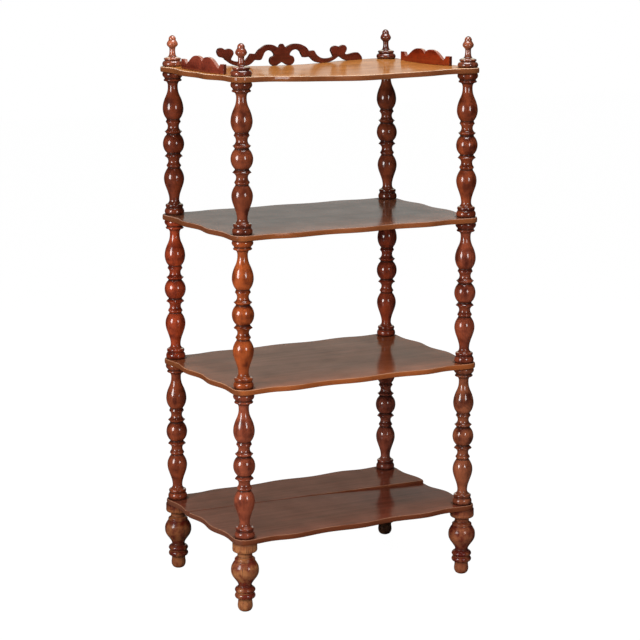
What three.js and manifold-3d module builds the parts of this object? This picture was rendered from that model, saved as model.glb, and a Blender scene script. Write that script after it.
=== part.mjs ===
// A four-tier whatnot of turned mahogany, in millimetres.
// Twelve turned posts stand on four turned feet and carry four thin boards
// with waved edges. Each finial and post ends in a round tenon that goes down
// through the board under it and into the piece below. The top board has a
// pierced scroll gallery along its back and a low shaped gallery at each side.
// +Z is up, the front faces -Y, and the origin lies on the floor under the
// middle of the four legs.

import * as THREE from 'three';
import { mergeVertices } from 'three/addons/utils/BufferGeometryUtils.js';
import Module from 'manifold-3d';

const wasm = await Module();
wasm.setup();

// Overall plan and heights
const legSpacingX = 610;
const legSpacingY = 385;
const footHeight = 170;
const postHeight = 351;
const finialHeight = 75;
const boardThickness = 13;
const postTiers = ['lower', 'middle', 'upper'];

// Turned pieces
const footRadius = 33.7;
const footSeatRadius = 12;
const postRadius = 26.3;
const finialRadius = 25;
const turnedSides = 10;

// A turned piece has flat sides. Its corners stand out far enough that each
// slice has the area of the true circle, and it is turned by a quarter of a
// side, so that it reaches equally far to the front and to the side.
const wedge = (2 * Math.PI) / turnedSides;
const facetSwell = Math.sqrt(wedge / Math.sin(wedge));
const quarterSide = wedge / 4;

// Round tenon at the lower end of posts and finials, and the bore it enters
const tenonRadius = 9;
const tenonReach = 22;
const fitClearance = 0.3;

// Waved edge of the boards, measured outwards from the line of the legs
const earRadius = 28;
const edgeCrest = 31;
const edgeTrough = 23;

// The open joint along the bottom board, measured from the middle of the depth
const jointRightY = 38.5;
const jointLeftY = 67;

// Galleries on the top board
const galleryThickness = 8.5;
const backGalleryHalfLength = 232;
const backGalleryHeight = 55;
const backGalleryInset = 2;
const backGalleryOffset = 5;
// Its left half is sawn a little shorter, and the scroll there is tipped up by
// this many radians
const leftHalfShare = 0.975;
const leftScrollTilt = 0.06;
const sideGalleryLength = 234;
const sideGalleryHeight = 36.5;
const sideGalleryInset = 17;
const sideGalleryOffset = 6;

// Dowels that pin the galleries to the top board
const dowelRadius = 2.5;
const dowelLength = 16;
const dowelSides = 8;

// One overrun serves every cut
const cutOverrun = 5;

// Steps along the curves
const stepsPerLongWave = 3;
const stepsPerShortWave = 2;
const stepsPerEar = 3;
const stepsPerScrollPoint = 1.25;

// Worked out from the sizes above
const halfX = legSpacingX / 2;
const halfY = legSpacingY / 2;
const tierPitch = postHeight + boardThickness;
const topBoardLevel = footHeight + tierPitch * postTiers.length;
const topSurface = topBoardLevel + boardThickness;
const boreRadius = tenonRadius + fitClearance;
const boreDepth = tenonReach + fitClearance;

// Foot, from the floor up: height as a share of its height, radius as a share
// of its widest radius
const footProfileShares = [
  [0.029, 0.475], [0.071, 0.522], [0.165, 0.516], // worn peg
  [0.194, 0.588], [0.232, 0.742], [0.268, 0.593], [0.318, 0.739], // two rings
  [0.359, 0.534], [0.388, 0.481], [0.447, 0.623], // neck
  [0.506, 0.846], [0.553, 0.967], [0.6, 1], [0.659, 0.973], [0.712, 0.855], // bulb
  [0.747, 0.724], [0.788, 0.721], [0.824, 0.475], [0.853, 0.49], // collar and neck
  [0.876, 0.786], [0.906, 0.89], [1, 0.89], // drum under the board
];

// Post, from the board it stands on up to the board it carries: height as a
// share of its height, radius as a share of its ball's radius
const postProfileShares = [
  [0, 0.817], [0.02, 0.92], [0.044, 0.76], [0.063, 0.844], // base torus and ring
  [0.08, 0.593], [0.103, 0.471], // waist
  [0.148, 0.57], [0.194, 0.776], [0.251, 0.951], [0.296, 0.837], [0.333, 0.563], // lower vase
  [0.352, 0.7], [0.388, 0.532], [0.414, 0.844], // collar, cove and ring
  [0.434, 0.62], [0.462, 0.897], [0.5, 1], [0.538, 0.897], [0.566, 0.624], // ball
  [0.583, 0.837], [0.612, 0.532], [0.652, 0.715], [0.672, 0.608], // ring, cove and collar
  [0.701, 0.859], [0.749, 0.97], [0.803, 0.817], [0.86, 0.521], [0.912, 0.468], // upper vase
  [0.942, 0.863], [0.959, 0.779], [0.98, 0.962], [1, 0.837], // sharp collar and top torus
];

// Finial, from the top board up: height as a share of its height, radius as a
// share of its base torus
const finialProfileShares = [
  [0, 0.88], [0.093, 1], [0.187, 0.79], [0.227, 0.832], [0.293, 0.832], // torus and collar
  [0.327, 0.62], [0.38, 0.44], [0.453, 0.344], [0.573, 0.328], // hollow neck
  [0.66, 0.48], [0.72, 0.552], [0.787, 0.48], // bulb
  [0.847, 0.36], [0.907, 0.348], [0.96, 0.264], // domed tip
];

// Where the waves of a board's edge turn, as shares of the half length from
// its middle to the ear. A long edge turns crest, trough, crest, trough, ear
// and a short edge turns trough, crest, trough, ear.
const longWaveShares = [0, 0.3, 0.6, 0.8, 1];
const shortWaveShares = [0, 0.35, 0.69, 1];

// Right half of the scroll gallery, clockwise from the top of its middle. Each
// stretch is a smooth curve, and stretches meet in corners. Points are shares
// of the half length and of the height.
const scrollCrownShares = [
  [[0, 1], [0.028, 0.955], [0.052, 0.825]], // knob
  [[0.052, 0.825], [0.103, 0.945], [0.172, 0.975], [0.25, 0.902], [0.302, 0.773], [0.332, 0.607]],
  [[0.332, 0.607], [0.397, 0.609]], // step where the arch meets the scroll
  [[0.397, 0.609], [0.427, 0.427], [0.474, 0.264], [0.552, 0.198], [0.634, 0.273]], // scroll
  [[0.634, 0.273], [0.612, 0.45], [0.606, 0.59], [0.655, 0.742], [0.709, 0.66]], // inner lobe
  [[0.709, 0.66], [0.759, 0.745], [0.804, 0.56], [0.795, 0.44], [0.78, 0.349]], // outer lobe
];
const scrollFootShares = [
  [[0.78, 0.349], [0.81, 0.295], [0.875, 0.336], [0.931, 0.345], [0.983, 0.209], [1, 0]], // leaf
  [[1, 0], [0.828, 0]],
  [[0.828, 0], [0.759, 0.091], [0.707, 0.235]],
];
// The leaf at the left end is broken off, which leaves a short stub
const scrollStubShares = [
  [[0.78, 0.349], [0.741, 0.33]],
  [[0.741, 0.33], [0.716, 0.3]],
  [[0.716, 0.3], [0.707, 0.235]],
];
const scrollUndersideShares = [
  [[0.707, 0.235], [0.647, 0.102], [0.543, 0]],
  [[0.543, 0], [0.491, 0]], // the scroll rests on the board
  [[0.491, 0], [0.422, 0.069], [0.362, 0.242], [0.323, 0.327]],
  [[0.323, 0.327], [0.267, 0.324], [0.246, 0.413]], // foot of the arch
  [[0.246, 0.413], [0.224, 0.591], [0.164, 0.709], [0.112, 0.627], [0.097, 0.482], [0.112, 0.447]],
  [[0.112, 0.447], [0.144, 0.364], [0.153, 0.2], [0.125, 0.04], [0.103, 0]], // lobe
  [[0.103, 0], [0.078, 0]],
  [[0.078, 0], [0.044, 0.06], [0, 0.173]],
];

// Where the left scroll's tilt starts in the arch, and where it is full
const tiltStartShare = 0.172;
const tiltFullShare = 0.332;

// Half of a side gallery's top edge, from the notch in its middle to its end,
// as shares of the half length and of the height
const sideCrestShares = [
  [[0, 0.67], [0.05, 0.86], [0.14, 0.96], [0.27, 1], [0.45, 0.9], [0.6, 0.64], [0.735, 0.36]],
  [[0.735, 0.36], [0.79, 0.4], [0.85, 0.63]],
  [[0.85, 0.63], [1, 0.63]],
];

// Where the dowels stand, as shares of the half length of each gallery
const backDowelShares = [-0.504, -0.09, 0.09, 0.517];
const sideDowelShares = [-0.55, 0.55];

const mahogany = (color, roughness) =>
  new THREE.MeshStandardMaterial({ color, roughness, metalness: 0 });
const postWood = mahogany(0x7a2f16, 0.28);
const footWood = mahogany(0x74391d, 0.36);
const boardWood = mahogany(0x8d4a22, 0.32);
const galleryWood = mahogany(0x5e1f10, 0.34);
const dowelWood = mahogany(0xc9a26b, 0.7);

const whatnot = new THREE.Group();
whatnot.name = 'whatnot';

function addPiece(parent, name, geometry, material) {
  const piece = new THREE.Mesh(geometry, material);
  piece.name = name;
  parent.add(piece);
  return piece;
}

// Turned shapes

function profilePoints(shares, height, radius) {
  return shares.map(([up, out]) => new THREE.Vector2(radius * out, height * up));
}

// A profile runs from the axis at the bottom to the axis at the top. The lathe
// turns it about Y, and a quarter turn stands it up along Z.
function turned(points) {
  const lathe = new THREE.LatheGeometry(points, turnedSides).scale(facetSwell, 1, facetSwell);
  return lathe.rotateX(Math.PI / 2).rotateZ(quarterSide);
}

function tenonPoints() {
  const end = -(boardThickness + tenonReach);
  return [
    new THREE.Vector2(0, end),
    new THREE.Vector2(tenonRadius, end),
    new THREE.Vector2(tenonRadius, 0),
  ];
}

function borePoints(height) {
  return [
    new THREE.Vector2(boreRadius, height),
    new THREE.Vector2(boreRadius, height - boreDepth),
    new THREE.Vector2(0, height - boreDepth),
  ];
}

function footGeometry() {
  return turned([
    new THREE.Vector2(0, 0),
    new THREE.Vector2(footSeatRadius, 0),
    ...profilePoints(footProfileShares, footHeight, footRadius),
    ...borePoints(footHeight),
  ]);
}

function postGeometry() {
  return turned([
    ...tenonPoints(),
    ...profilePoints(postProfileShares, postHeight, postRadius),
    ...borePoints(postHeight),
  ]);
}

function finialGeometry() {
  return turned([
    ...tenonPoints(),
    ...profilePoints(finialProfileShares, finialHeight, finialRadius),
    new THREE.Vector2(0, finialHeight),
  ]);
}

// Boards

// The overhang swings like a cosine from each turning place to the next
function waveEdge(turnShares, overhangs, halfLength, steps) {
  const half = [];
  for (let turn = 0; turn < turnShares.length - 1; turn += 1) {
    for (let step = 0; step < steps; step += 1) {
      const along = step / steps;
      const swing = (1 - Math.cos(Math.PI * along)) / 2;
      half.push([
        halfLength * THREE.MathUtils.lerp(turnShares[turn], turnShares[turn + 1], along),
        THREE.MathUtils.lerp(overhangs[turn], overhangs[turn + 1], swing),
      ]);
    }
  }
  const mirrored = half.slice(1).reverse().map(([along, out]) => [-along, out]);
  return [...mirrored, ...half];
}

// The outline goes round the board as two long edges, two short edges and four
// ears. An ear is a quarter circle about the leg, from one edge to the next.
function boardOutline() {
  const longEdge = waveEdge(
    longWaveShares,
    [edgeCrest, edgeTrough, edgeCrest, edgeTrough, earRadius],
    halfX,
    stepsPerLongWave,
  );
  const shortEdge = waveEdge(
    shortWaveShares,
    [edgeTrough, edgeCrest, edgeTrough, earRadius],
    halfY,
    stepsPerShortWave,
  );
  const quarters = [
    { edge: longEdge, away: halfY, reach: halfX },
    { edge: shortEdge, away: halfX, reach: halfY },
    { edge: longEdge, away: halfY, reach: halfX },
    { edge: shortEdge, away: halfX, reach: halfY },
  ];
  const points = [];
  const middle = new THREE.Vector2();
  quarters.forEach(({ edge, away, reach }, quarter) => {
    const turn = (quarter * Math.PI) / 2;
    for (const [along, out] of edge) {
      points.push(new THREE.Vector2(along, -(away + out)).rotateAround(middle, turn));
    }
    for (let step = 0; step <= stepsPerEar; step += 1) {
      const angle = (step / stepsPerEar - 1) * (Math.PI / 2);
      const ear = new THREE.Vector2(Math.cos(angle), Math.sin(angle)).multiplyScalar(earRadius);
      ear.add(new THREE.Vector2(reach, -away));
      points.push(ear.rotateAround(middle, turn));
    }
  });
  return points;
}

const legPlaces = [
  { name: 'front_left', x: -halfX, y: -halfY },
  { name: 'front_right', x: halfX, y: -halfY },
  { name: 'back_left', x: -halfX, y: halfY },
  { name: 'back_right', x: halfX, y: halfY },
];

// A hole for each tenon has the same sides as the tenon, turned alike
function boardGeometry() {
  const shape = new THREE.Shape(boardOutline());
  for (const { x, y } of legPlaces) {
    const hole = [];
    for (let side = 0; side < turnedSides; side += 1) {
      const angle = wedge * side + quarterSide - Math.PI / 2;
      const corner = new THREE.Vector2(Math.cos(angle), Math.sin(angle));
      hole.push(corner.multiplyScalar(boreRadius * facetSwell).add(new THREE.Vector2(x, y)));
    }
    shape.holes.push(new THREE.Path(hole));
  }
  return new THREE.ExtrudeGeometry(shape, { depth: boardThickness, bevelEnabled: false });
}

// Cutting

function toSolid(geometry) {
  const bare = geometry.clone();
  bare.deleteAttribute('normal');
  bare.deleteAttribute('uv');
  const merged = mergeVertices(bare);
  return new wasm.Manifold(new wasm.Mesh({
    numProp: 3,
    vertProperties: new Float32Array(merged.attributes.position.array),
    triVerts: new Uint32Array(merged.index.array),
  }));
}

function toGeometry(solid) {
  const mesh = solid.getMesh();
  const geometry = new THREE.BufferGeometry();
  geometry.setAttribute('position', new THREE.BufferAttribute(mesh.vertProperties, mesh.numProp));
  geometry.setIndex(new THREE.BufferAttribute(mesh.triVerts, 1));
  geometry.computeVertexNormals();
  return geometry;
}

// One side of the bottom board's joint: everything on that side of the line,
// less half of the clearance
function jointSide(side) {
  const reachX = halfX + edgeCrest + cutOverrun;
  const reachY = halfY + edgeCrest + cutOverrun;
  const shift = (side * fitClearance) / 2;
  const shape = new THREE.Shape([
    new THREE.Vector2(-reachX, jointLeftY + shift),
    new THREE.Vector2(reachX, jointRightY + shift),
    new THREE.Vector2(reachX, side * reachY),
    new THREE.Vector2(-reachX, side * reachY),
  ]);
  const depth = boardThickness + 2 * cutOverrun;
  const block = new THREE.ExtrudeGeometry(shape, { depth, bevelEnabled: false });
  return toSolid(block.translate(0, 0, -cutOverrun));
}

// A drill stands upright on its tip, and each hole is deeper than half a dowel
// by the clearance
const holeDepth = dowelLength / 2 + fitClearance;

function drill(x, y, bottom, top) {
  const radius = dowelRadius + fitClearance;
  const bit = new THREE.CylinderGeometry(radius, radius, top - bottom, dowelSides);
  return toSolid(bit.rotateX(Math.PI / 2).translate(x, y, (top + bottom) / 2));
}

// Galleries, upright on z = 0 with their length along X and their front at y = 0

function smoothStretch(stretch, halfLength, height) {
  const control = stretch.map(([along, up]) => new THREE.Vector2(along * halfLength, up * height));
  if (control.length === 2) {
    return control;
  }
  return new THREE.SplineCurve(control).getPoints(Math.round(control.length * stepsPerScrollPoint));
}

// Stretches meet end to end, so each gives up its last point to the next
function joinStretches(stretches, halfLength, height) {
  return stretches.flatMap((stretch) => smoothStretch(stretch, halfLength, height).slice(0, -1));
}

// Nothing reaches below the board
function aboveBoard(points) {
  return points.map((point) => new THREE.Vector2(point.x, Math.max(point.y, 0)));
}

function mirrored(points) {
  return points.map((point) => new THREE.Vector2(-point.x, point.y));
}

// Tips the scroll up about the outer end of its foot, and the arch with it less
// and less towards the middle
function tipScroll(points, halfLength) {
  const pivot = new THREE.Vector2(scrollUndersideShares[1][0][0] * halfLength, 0);
  return points.map((point) => {
    const share = THREE.MathUtils.smoothstep(point.x / halfLength, tiltStartShare, tiltFullShare);
    return point.clone().rotateAround(pivot, leftScrollTilt * share);
  });
}

function backGalleryOutline() {
  const half = (end, halfLength) => joinStretches(
    [...scrollCrownShares, ...end, ...scrollUndersideShares],
    halfLength,
    backGalleryHeight,
  );
  const right = half(scrollFootShares, backGalleryHalfLength);
  const notch = new THREE.Vector2(0, backGalleryHeight * scrollUndersideShares.at(-1).at(-1)[1]);
  const leftHalfLength = backGalleryHalfLength * leftHalfShare;
  const left = tipScroll(half(scrollStubShares, leftHalfLength), leftHalfLength);
  return aboveBoard([...right, notch, ...mirrored(left.slice(1)).reverse()]);
}

function sideGalleryOutline() {
  const halfLength = sideGalleryLength / 2;
  const crest = aboveBoard(joinStretches(sideCrestShares, halfLength, sideGalleryHeight));
  const endHeight = sideGalleryHeight * sideCrestShares.at(-1).at(-1)[1];
  const right = [...crest, new THREE.Vector2(halfLength, endHeight), new THREE.Vector2(halfLength, 0)];
  return [...right, ...mirrored(right.slice(1)).reverse()];
}

function galleryGeometry(outline, dowelPlaces) {
  const shape = new THREE.Shape(outline);
  const board = new THREE.ExtrudeGeometry(shape, { depth: galleryThickness, bevelEnabled: false });
  let solid = toSolid(board.rotateX(Math.PI / 2).translate(0, galleryThickness, 0));
  for (const place of dowelPlaces) {
    solid = solid.subtract(drill(place, galleryThickness / 2, -cutOverrun, holeDepth));
  }
  return toGeometry(solid);
}

// Where each gallery stands on the top board, and the dowels in it
const edgeLineX = halfX + edgeTrough;
const edgeLineY = halfY + edgeTrough;
const backDowelPlaces = backDowelShares.map((share) => share * backGalleryHalfLength);
const sideDowelPlaces = sideDowelShares.map((share) => (share * sideGalleryLength) / 2);
const sideGalleryReach = edgeLineX - sideGalleryInset;
const galleryPlaces = [
  {
    name: 'back',
    outline: backGalleryOutline(),
    dowels: backDowelPlaces,
    x: backGalleryOffset,
    y: edgeLineY - backGalleryInset - galleryThickness,
    turn: 0,
  },
  {
    name: 'left',
    outline: sideGalleryOutline(),
    dowels: sideDowelPlaces,
    x: galleryThickness - sideGalleryReach,
    y: sideGalleryOffset,
    turn: Math.PI / 2,
  },
  {
    name: 'right',
    outline: sideGalleryOutline(),
    dowels: sideDowelPlaces,
    x: sideGalleryReach,
    y: sideGalleryOffset,
    turn: Math.PI / 2,
  },
];

// Legs: a foot, three posts and a finial on each corner

const foot = footGeometry();
const post = postGeometry();
const finial = finialGeometry();

for (const { name, x, y } of legPlaces) {
  const leg = new THREE.Group();
  leg.position.set(x, y, 0);
  addPiece(leg, `foot_${name}`, foot, footWood);
  postTiers.forEach((tier, level) => {
    const piece = addPiece(leg, `post_${tier}_${name}`, post, postWood);
    piece.position.z = footHeight + boardThickness + tierPitch * level;
  });
  const tip = addPiece(leg, `finial_${name}`, finial, postWood);
  tip.position.z = topSurface;
  whatnot.add(leg);
}

// Boards: the bottom one in two halves, two whole ones and the top one

const board = boardGeometry();
const boardSolid = toSolid(board);
for (const [name, side] of [['front', -1], ['back', 1]]) {
  const half = toGeometry(boardSolid.intersect(jointSide(side)));
  const piece = addPiece(whatnot, `board_bottom_${name}`, half, boardWood);
  piece.position.z = footHeight;
}
['lower', 'upper'].forEach((name, level) => {
  const piece = addPiece(whatnot, `board_${name}`, board, boardWood);
  piece.position.z = footHeight + tierPitch * (level + 1);
});

let topSolid = boardSolid;
for (const { name, outline, dowels, x, y, turn } of galleryPlaces) {
  const gallery = new THREE.Group();
  gallery.position.set(x, y, topSurface);
  gallery.rotation.z = turn;
  addPiece(gallery, `gallery_${name}`, galleryGeometry(outline, dowels), galleryWood);
  whatnot.add(gallery);
  gallery.updateMatrix();
  dowels.forEach((place, index) => {
    const dowel = new THREE.CylinderGeometry(dowelRadius, dowelRadius, dowelLength, dowelSides);
    const pin = addPiece(gallery, `dowel_${name}_${index + 1}`, dowel.rotateX(Math.PI / 2), dowelWood);
    pin.position.set(place, galleryThickness / 2, 0);
    const spot = pin.position.clone().applyMatrix4(gallery.matrix);
    const hole = drill(spot.x, spot.y, boardThickness - holeDepth, boardThickness + cutOverrun);
    topSolid = topSolid.subtract(hole);
  });
}
const topBoard = addPiece(whatnot, 'board_top', toGeometry(topSolid), boardWood);
topBoard.position.z = topBoardLevel;

export default whatnot;
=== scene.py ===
"""A four-tier whatnot of turned mahogany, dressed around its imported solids.

Twelve turned posts stand on four turned feet and carry four thin boards with
waved edges. Finials stand on the corners of the top board, with a scroll
gallery along its back and a low gallery at each side. Every size is in
metres, apart from the turner's and the fretter's drawings, which are in
millimetres and are scaled by MM.
"""

import logging
import math
from collections.abc import Callable, Mapping, Sequence
from dataclasses import dataclass, replace
from enum import Enum

import bpy
import numpy as np
from mathutils import Euler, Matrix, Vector


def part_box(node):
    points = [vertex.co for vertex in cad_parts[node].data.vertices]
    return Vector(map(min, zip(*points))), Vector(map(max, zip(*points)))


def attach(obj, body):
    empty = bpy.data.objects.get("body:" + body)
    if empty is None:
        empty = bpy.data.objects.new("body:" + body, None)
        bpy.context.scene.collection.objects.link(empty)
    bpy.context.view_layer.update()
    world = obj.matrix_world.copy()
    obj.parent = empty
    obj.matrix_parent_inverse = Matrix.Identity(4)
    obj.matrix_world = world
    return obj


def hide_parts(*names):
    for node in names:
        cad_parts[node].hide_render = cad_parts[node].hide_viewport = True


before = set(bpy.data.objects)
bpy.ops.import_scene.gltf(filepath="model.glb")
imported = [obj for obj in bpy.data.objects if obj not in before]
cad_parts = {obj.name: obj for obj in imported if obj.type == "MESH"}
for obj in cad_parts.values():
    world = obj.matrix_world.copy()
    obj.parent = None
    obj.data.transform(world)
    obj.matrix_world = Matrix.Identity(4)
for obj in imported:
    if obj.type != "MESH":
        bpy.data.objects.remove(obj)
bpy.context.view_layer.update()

log = logging.getLogger("whatnot")

MM = 0.001
BODY = "root"
LEG_X = 0.305
LEG_Y = 0.1925
NOISE_MIDDLE = 0.5

Colour = tuple[float, float, float]
Pair = tuple[float, float]
Stretch = tuple[Pair, ...]

WHITE: Colour = (1.0, 1.0, 1.0)


class Corner(Enum):
    """The four legs, as seen from the front."""

    FRONT_LEFT = "front_left"
    FRONT_RIGHT = "front_right"
    BACK_LEFT = "back_left"
    BACK_RIGHT = "back_right"


class Tier(Enum):
    """The three rows of posts."""

    LOWER = "lower"
    MIDDLE = "middle"
    UPPER = "upper"


class Side(Enum):
    """The three sides of the top board that have a gallery."""

    BACK = "back"
    LEFT = "left"
    RIGHT = "right"


class Grain(Enum):
    """Which way the fibres run, as the share kept of each axis when fibres are stretched."""

    ALONG_X = (0.045, 1.0, 1.0)
    ALONG_Y = (1.0, 0.045, 1.0)
    UPRIGHT = (1.0, 1.0, 0.045)


# Shader maths


class Signal:
    """A socket that carries a number, on which Python operators build Math nodes."""

    def __init__(self, shading: "Shading", socket: bpy.types.NodeSocket) -> None:
        """Keeps the socket and the node tree that it belongs to.

        Args:
            shading: The tree that new nodes go into.
            socket: The output socket that carries the number.
        """
        self.shading = shading
        self.socket = socket

    def _math(self, operation: str, *values: object) -> "Signal":
        """Adds one Math node.

        Args:
            operation: The Math node's operation.
            values: Its inputs in order, as signals or numbers.

        Returns:
            The node's output.
        """
        inputs = dict(enumerate(values))
        return self.shading.node("ShaderNodeMath", {"operation": operation}, inputs)

    def __add__(self, other: object) -> "Signal":
        """The sum."""
        return self._math("ADD", self, other)

    def __radd__(self, other: object) -> "Signal":
        """The sum, with the number first."""
        return self._math("ADD", other, self)

    def __sub__(self, other: object) -> "Signal":
        """The difference."""
        return self._math("SUBTRACT", self, other)

    def __rsub__(self, other: object) -> "Signal":
        """The difference, with the number first."""
        return self._math("SUBTRACT", other, self)

    def __mul__(self, other: object) -> "Signal":
        """The product."""
        return self._math("MULTIPLY", self, other)

    def __rmul__(self, other: object) -> "Signal":
        """The product, with the number first."""
        return self._math("MULTIPLY", other, self)

    def __pow__(self, other: object) -> "Signal":
        """The power."""
        return self._math("POWER", self, other)

    def __abs__(self) -> "Signal":
        """The size without its sign."""
        return self._math("ABSOLUTE", self)

    def least(self, other: object) -> "Signal":
        """The smaller of the two."""
        return self._math("MINIMUM", self, other)

    def most(self, other: object) -> "Signal":
        """The larger of the two."""
        return self._math("MAXIMUM", self, other)

    def rise(self, start: float, end: float) -> "Signal":
        """A smooth step, 0 at start and 1 at end, which may be the lower of the two.

        Args:
            start: Where the step is 0.
            end: Where the step is 1.

        Returns:
            The step, kept from 0 to 1.
        """
        settings = {"interpolation_type": "SMOOTHSTEP"}
        inputs = {"Value": self, "From Min": start, "From Max": end}
        return self.shading.node("ShaderNodeMapRange", settings, inputs)


class Shading:
    """A node tree that finishes add their nodes to.

    A Mix node has its sockets for colours after those for numbers and vectors.
    """

    mix_colours: tuple[int, int] = (6, 7)
    mix_result: int = 2

    def __init__(self, tree: bpy.types.NodeTree) -> None:
        """Takes over an empty tree.

        Args:
            tree: The node tree of a material or of the world.
        """
        self.tree = tree
        self.tree.nodes.clear()

    def node(
        self,
        kind: str,
        settings: Mapping[str, object] | None = None,
        inputs: Mapping[str | int, object] | None = None,
        output: str | int = 0,
    ) -> Signal:
        """Adds any node.

        Args:
            kind: The node's type.
            settings: Its properties, set first.
            inputs: Its sockets by name or number, as values or signals.
            output: The output socket to hand on, where the node has any.

        Returns:
            The chosen output.
        """
        made = self.tree.nodes.new(kind)
        for name, value in (settings or {}).items():
            setattr(made, name, value)
        for name, value in (inputs or {}).items():
            if isinstance(value, Signal):
                self.tree.links.new(value.socket, made.inputs[name])
            else:
                made.inputs[name].default_value = value
        found = made.outputs[output] if len(made.outputs) else None
        return Signal(self, found)

    def noise(self, place: Signal, scale: float, detail: float, roughness: float = 0.5) -> Signal:
        """Cloudy noise from 0 to 1 about 0.5.

        Args:
            place: The point where it is read.
            scale: Clouds per metre.
            detail: How many finer layers there are.
            roughness: How strong the finer layers are.

        Returns:
            The noise.
        """
        inputs = {"Vector": place, "Scale": scale, "Detail": detail, "Roughness": roughness}
        return self.node("ShaderNodeTexNoise", None, inputs)

    def stretched(self, place: Signal, shares: Sequence[float]) -> Signal:
        """The place with each axis multiplied by its share."""
        inputs = {0: place, 1: tuple(shares)}
        return self.node("ShaderNodeVectorMath", {"operation": "MULTIPLY"}, inputs)

    def axes(self, place: Signal) -> tuple[Signal, Signal, Signal]:
        """The three axes of a vector, each as a signal."""
        made = self.node("ShaderNodeSeparateXYZ", None, {0: place}).socket.node
        return tuple(Signal(self, socket) for socket in made.outputs)

    def normal(self) -> tuple[Signal, Signal, Signal]:
        """The three axes of the surface's outward direction."""
        return self.axes(self.node("ShaderNodeNewGeometry", None, None, "Normal"))

    def rays(self, *kinds: str) -> tuple[Signal, ...]:
        """Whether the ray is of each kind, 1 or 0, by the names of a Light Path node's outputs."""
        path = self.node("ShaderNodeLightPath").socket.node
        return tuple(Signal(self, path.outputs[kind]) for kind in kinds)

    def mix(self, first: object, second: object, share: object) -> Signal:
        """A colour between two colours.

        Args:
            first: The colour at share 0.
            second: The colour at share 1.
            share: How far to go from the first to the second.

        Returns:
            The mixed colour.
        """
        inputs = {0: share}
        for number, end in zip(self.mix_colours, (first, second), strict=True):
            inputs[number] = end if isinstance(end, Signal) else (*end, 1.0)
        settings = {"data_type": "RGBA", "clamp_factor": True}
        return self.node("ShaderNodeMix", settings, inputs, self.mix_result)

    def attribute(self, name: str, output: str) -> Signal:
        """A value that the mesh carries at its points."""
        return self.node("ShaderNodeAttribute", {"attribute_name": name}, None, output)


# Finishes


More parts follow.
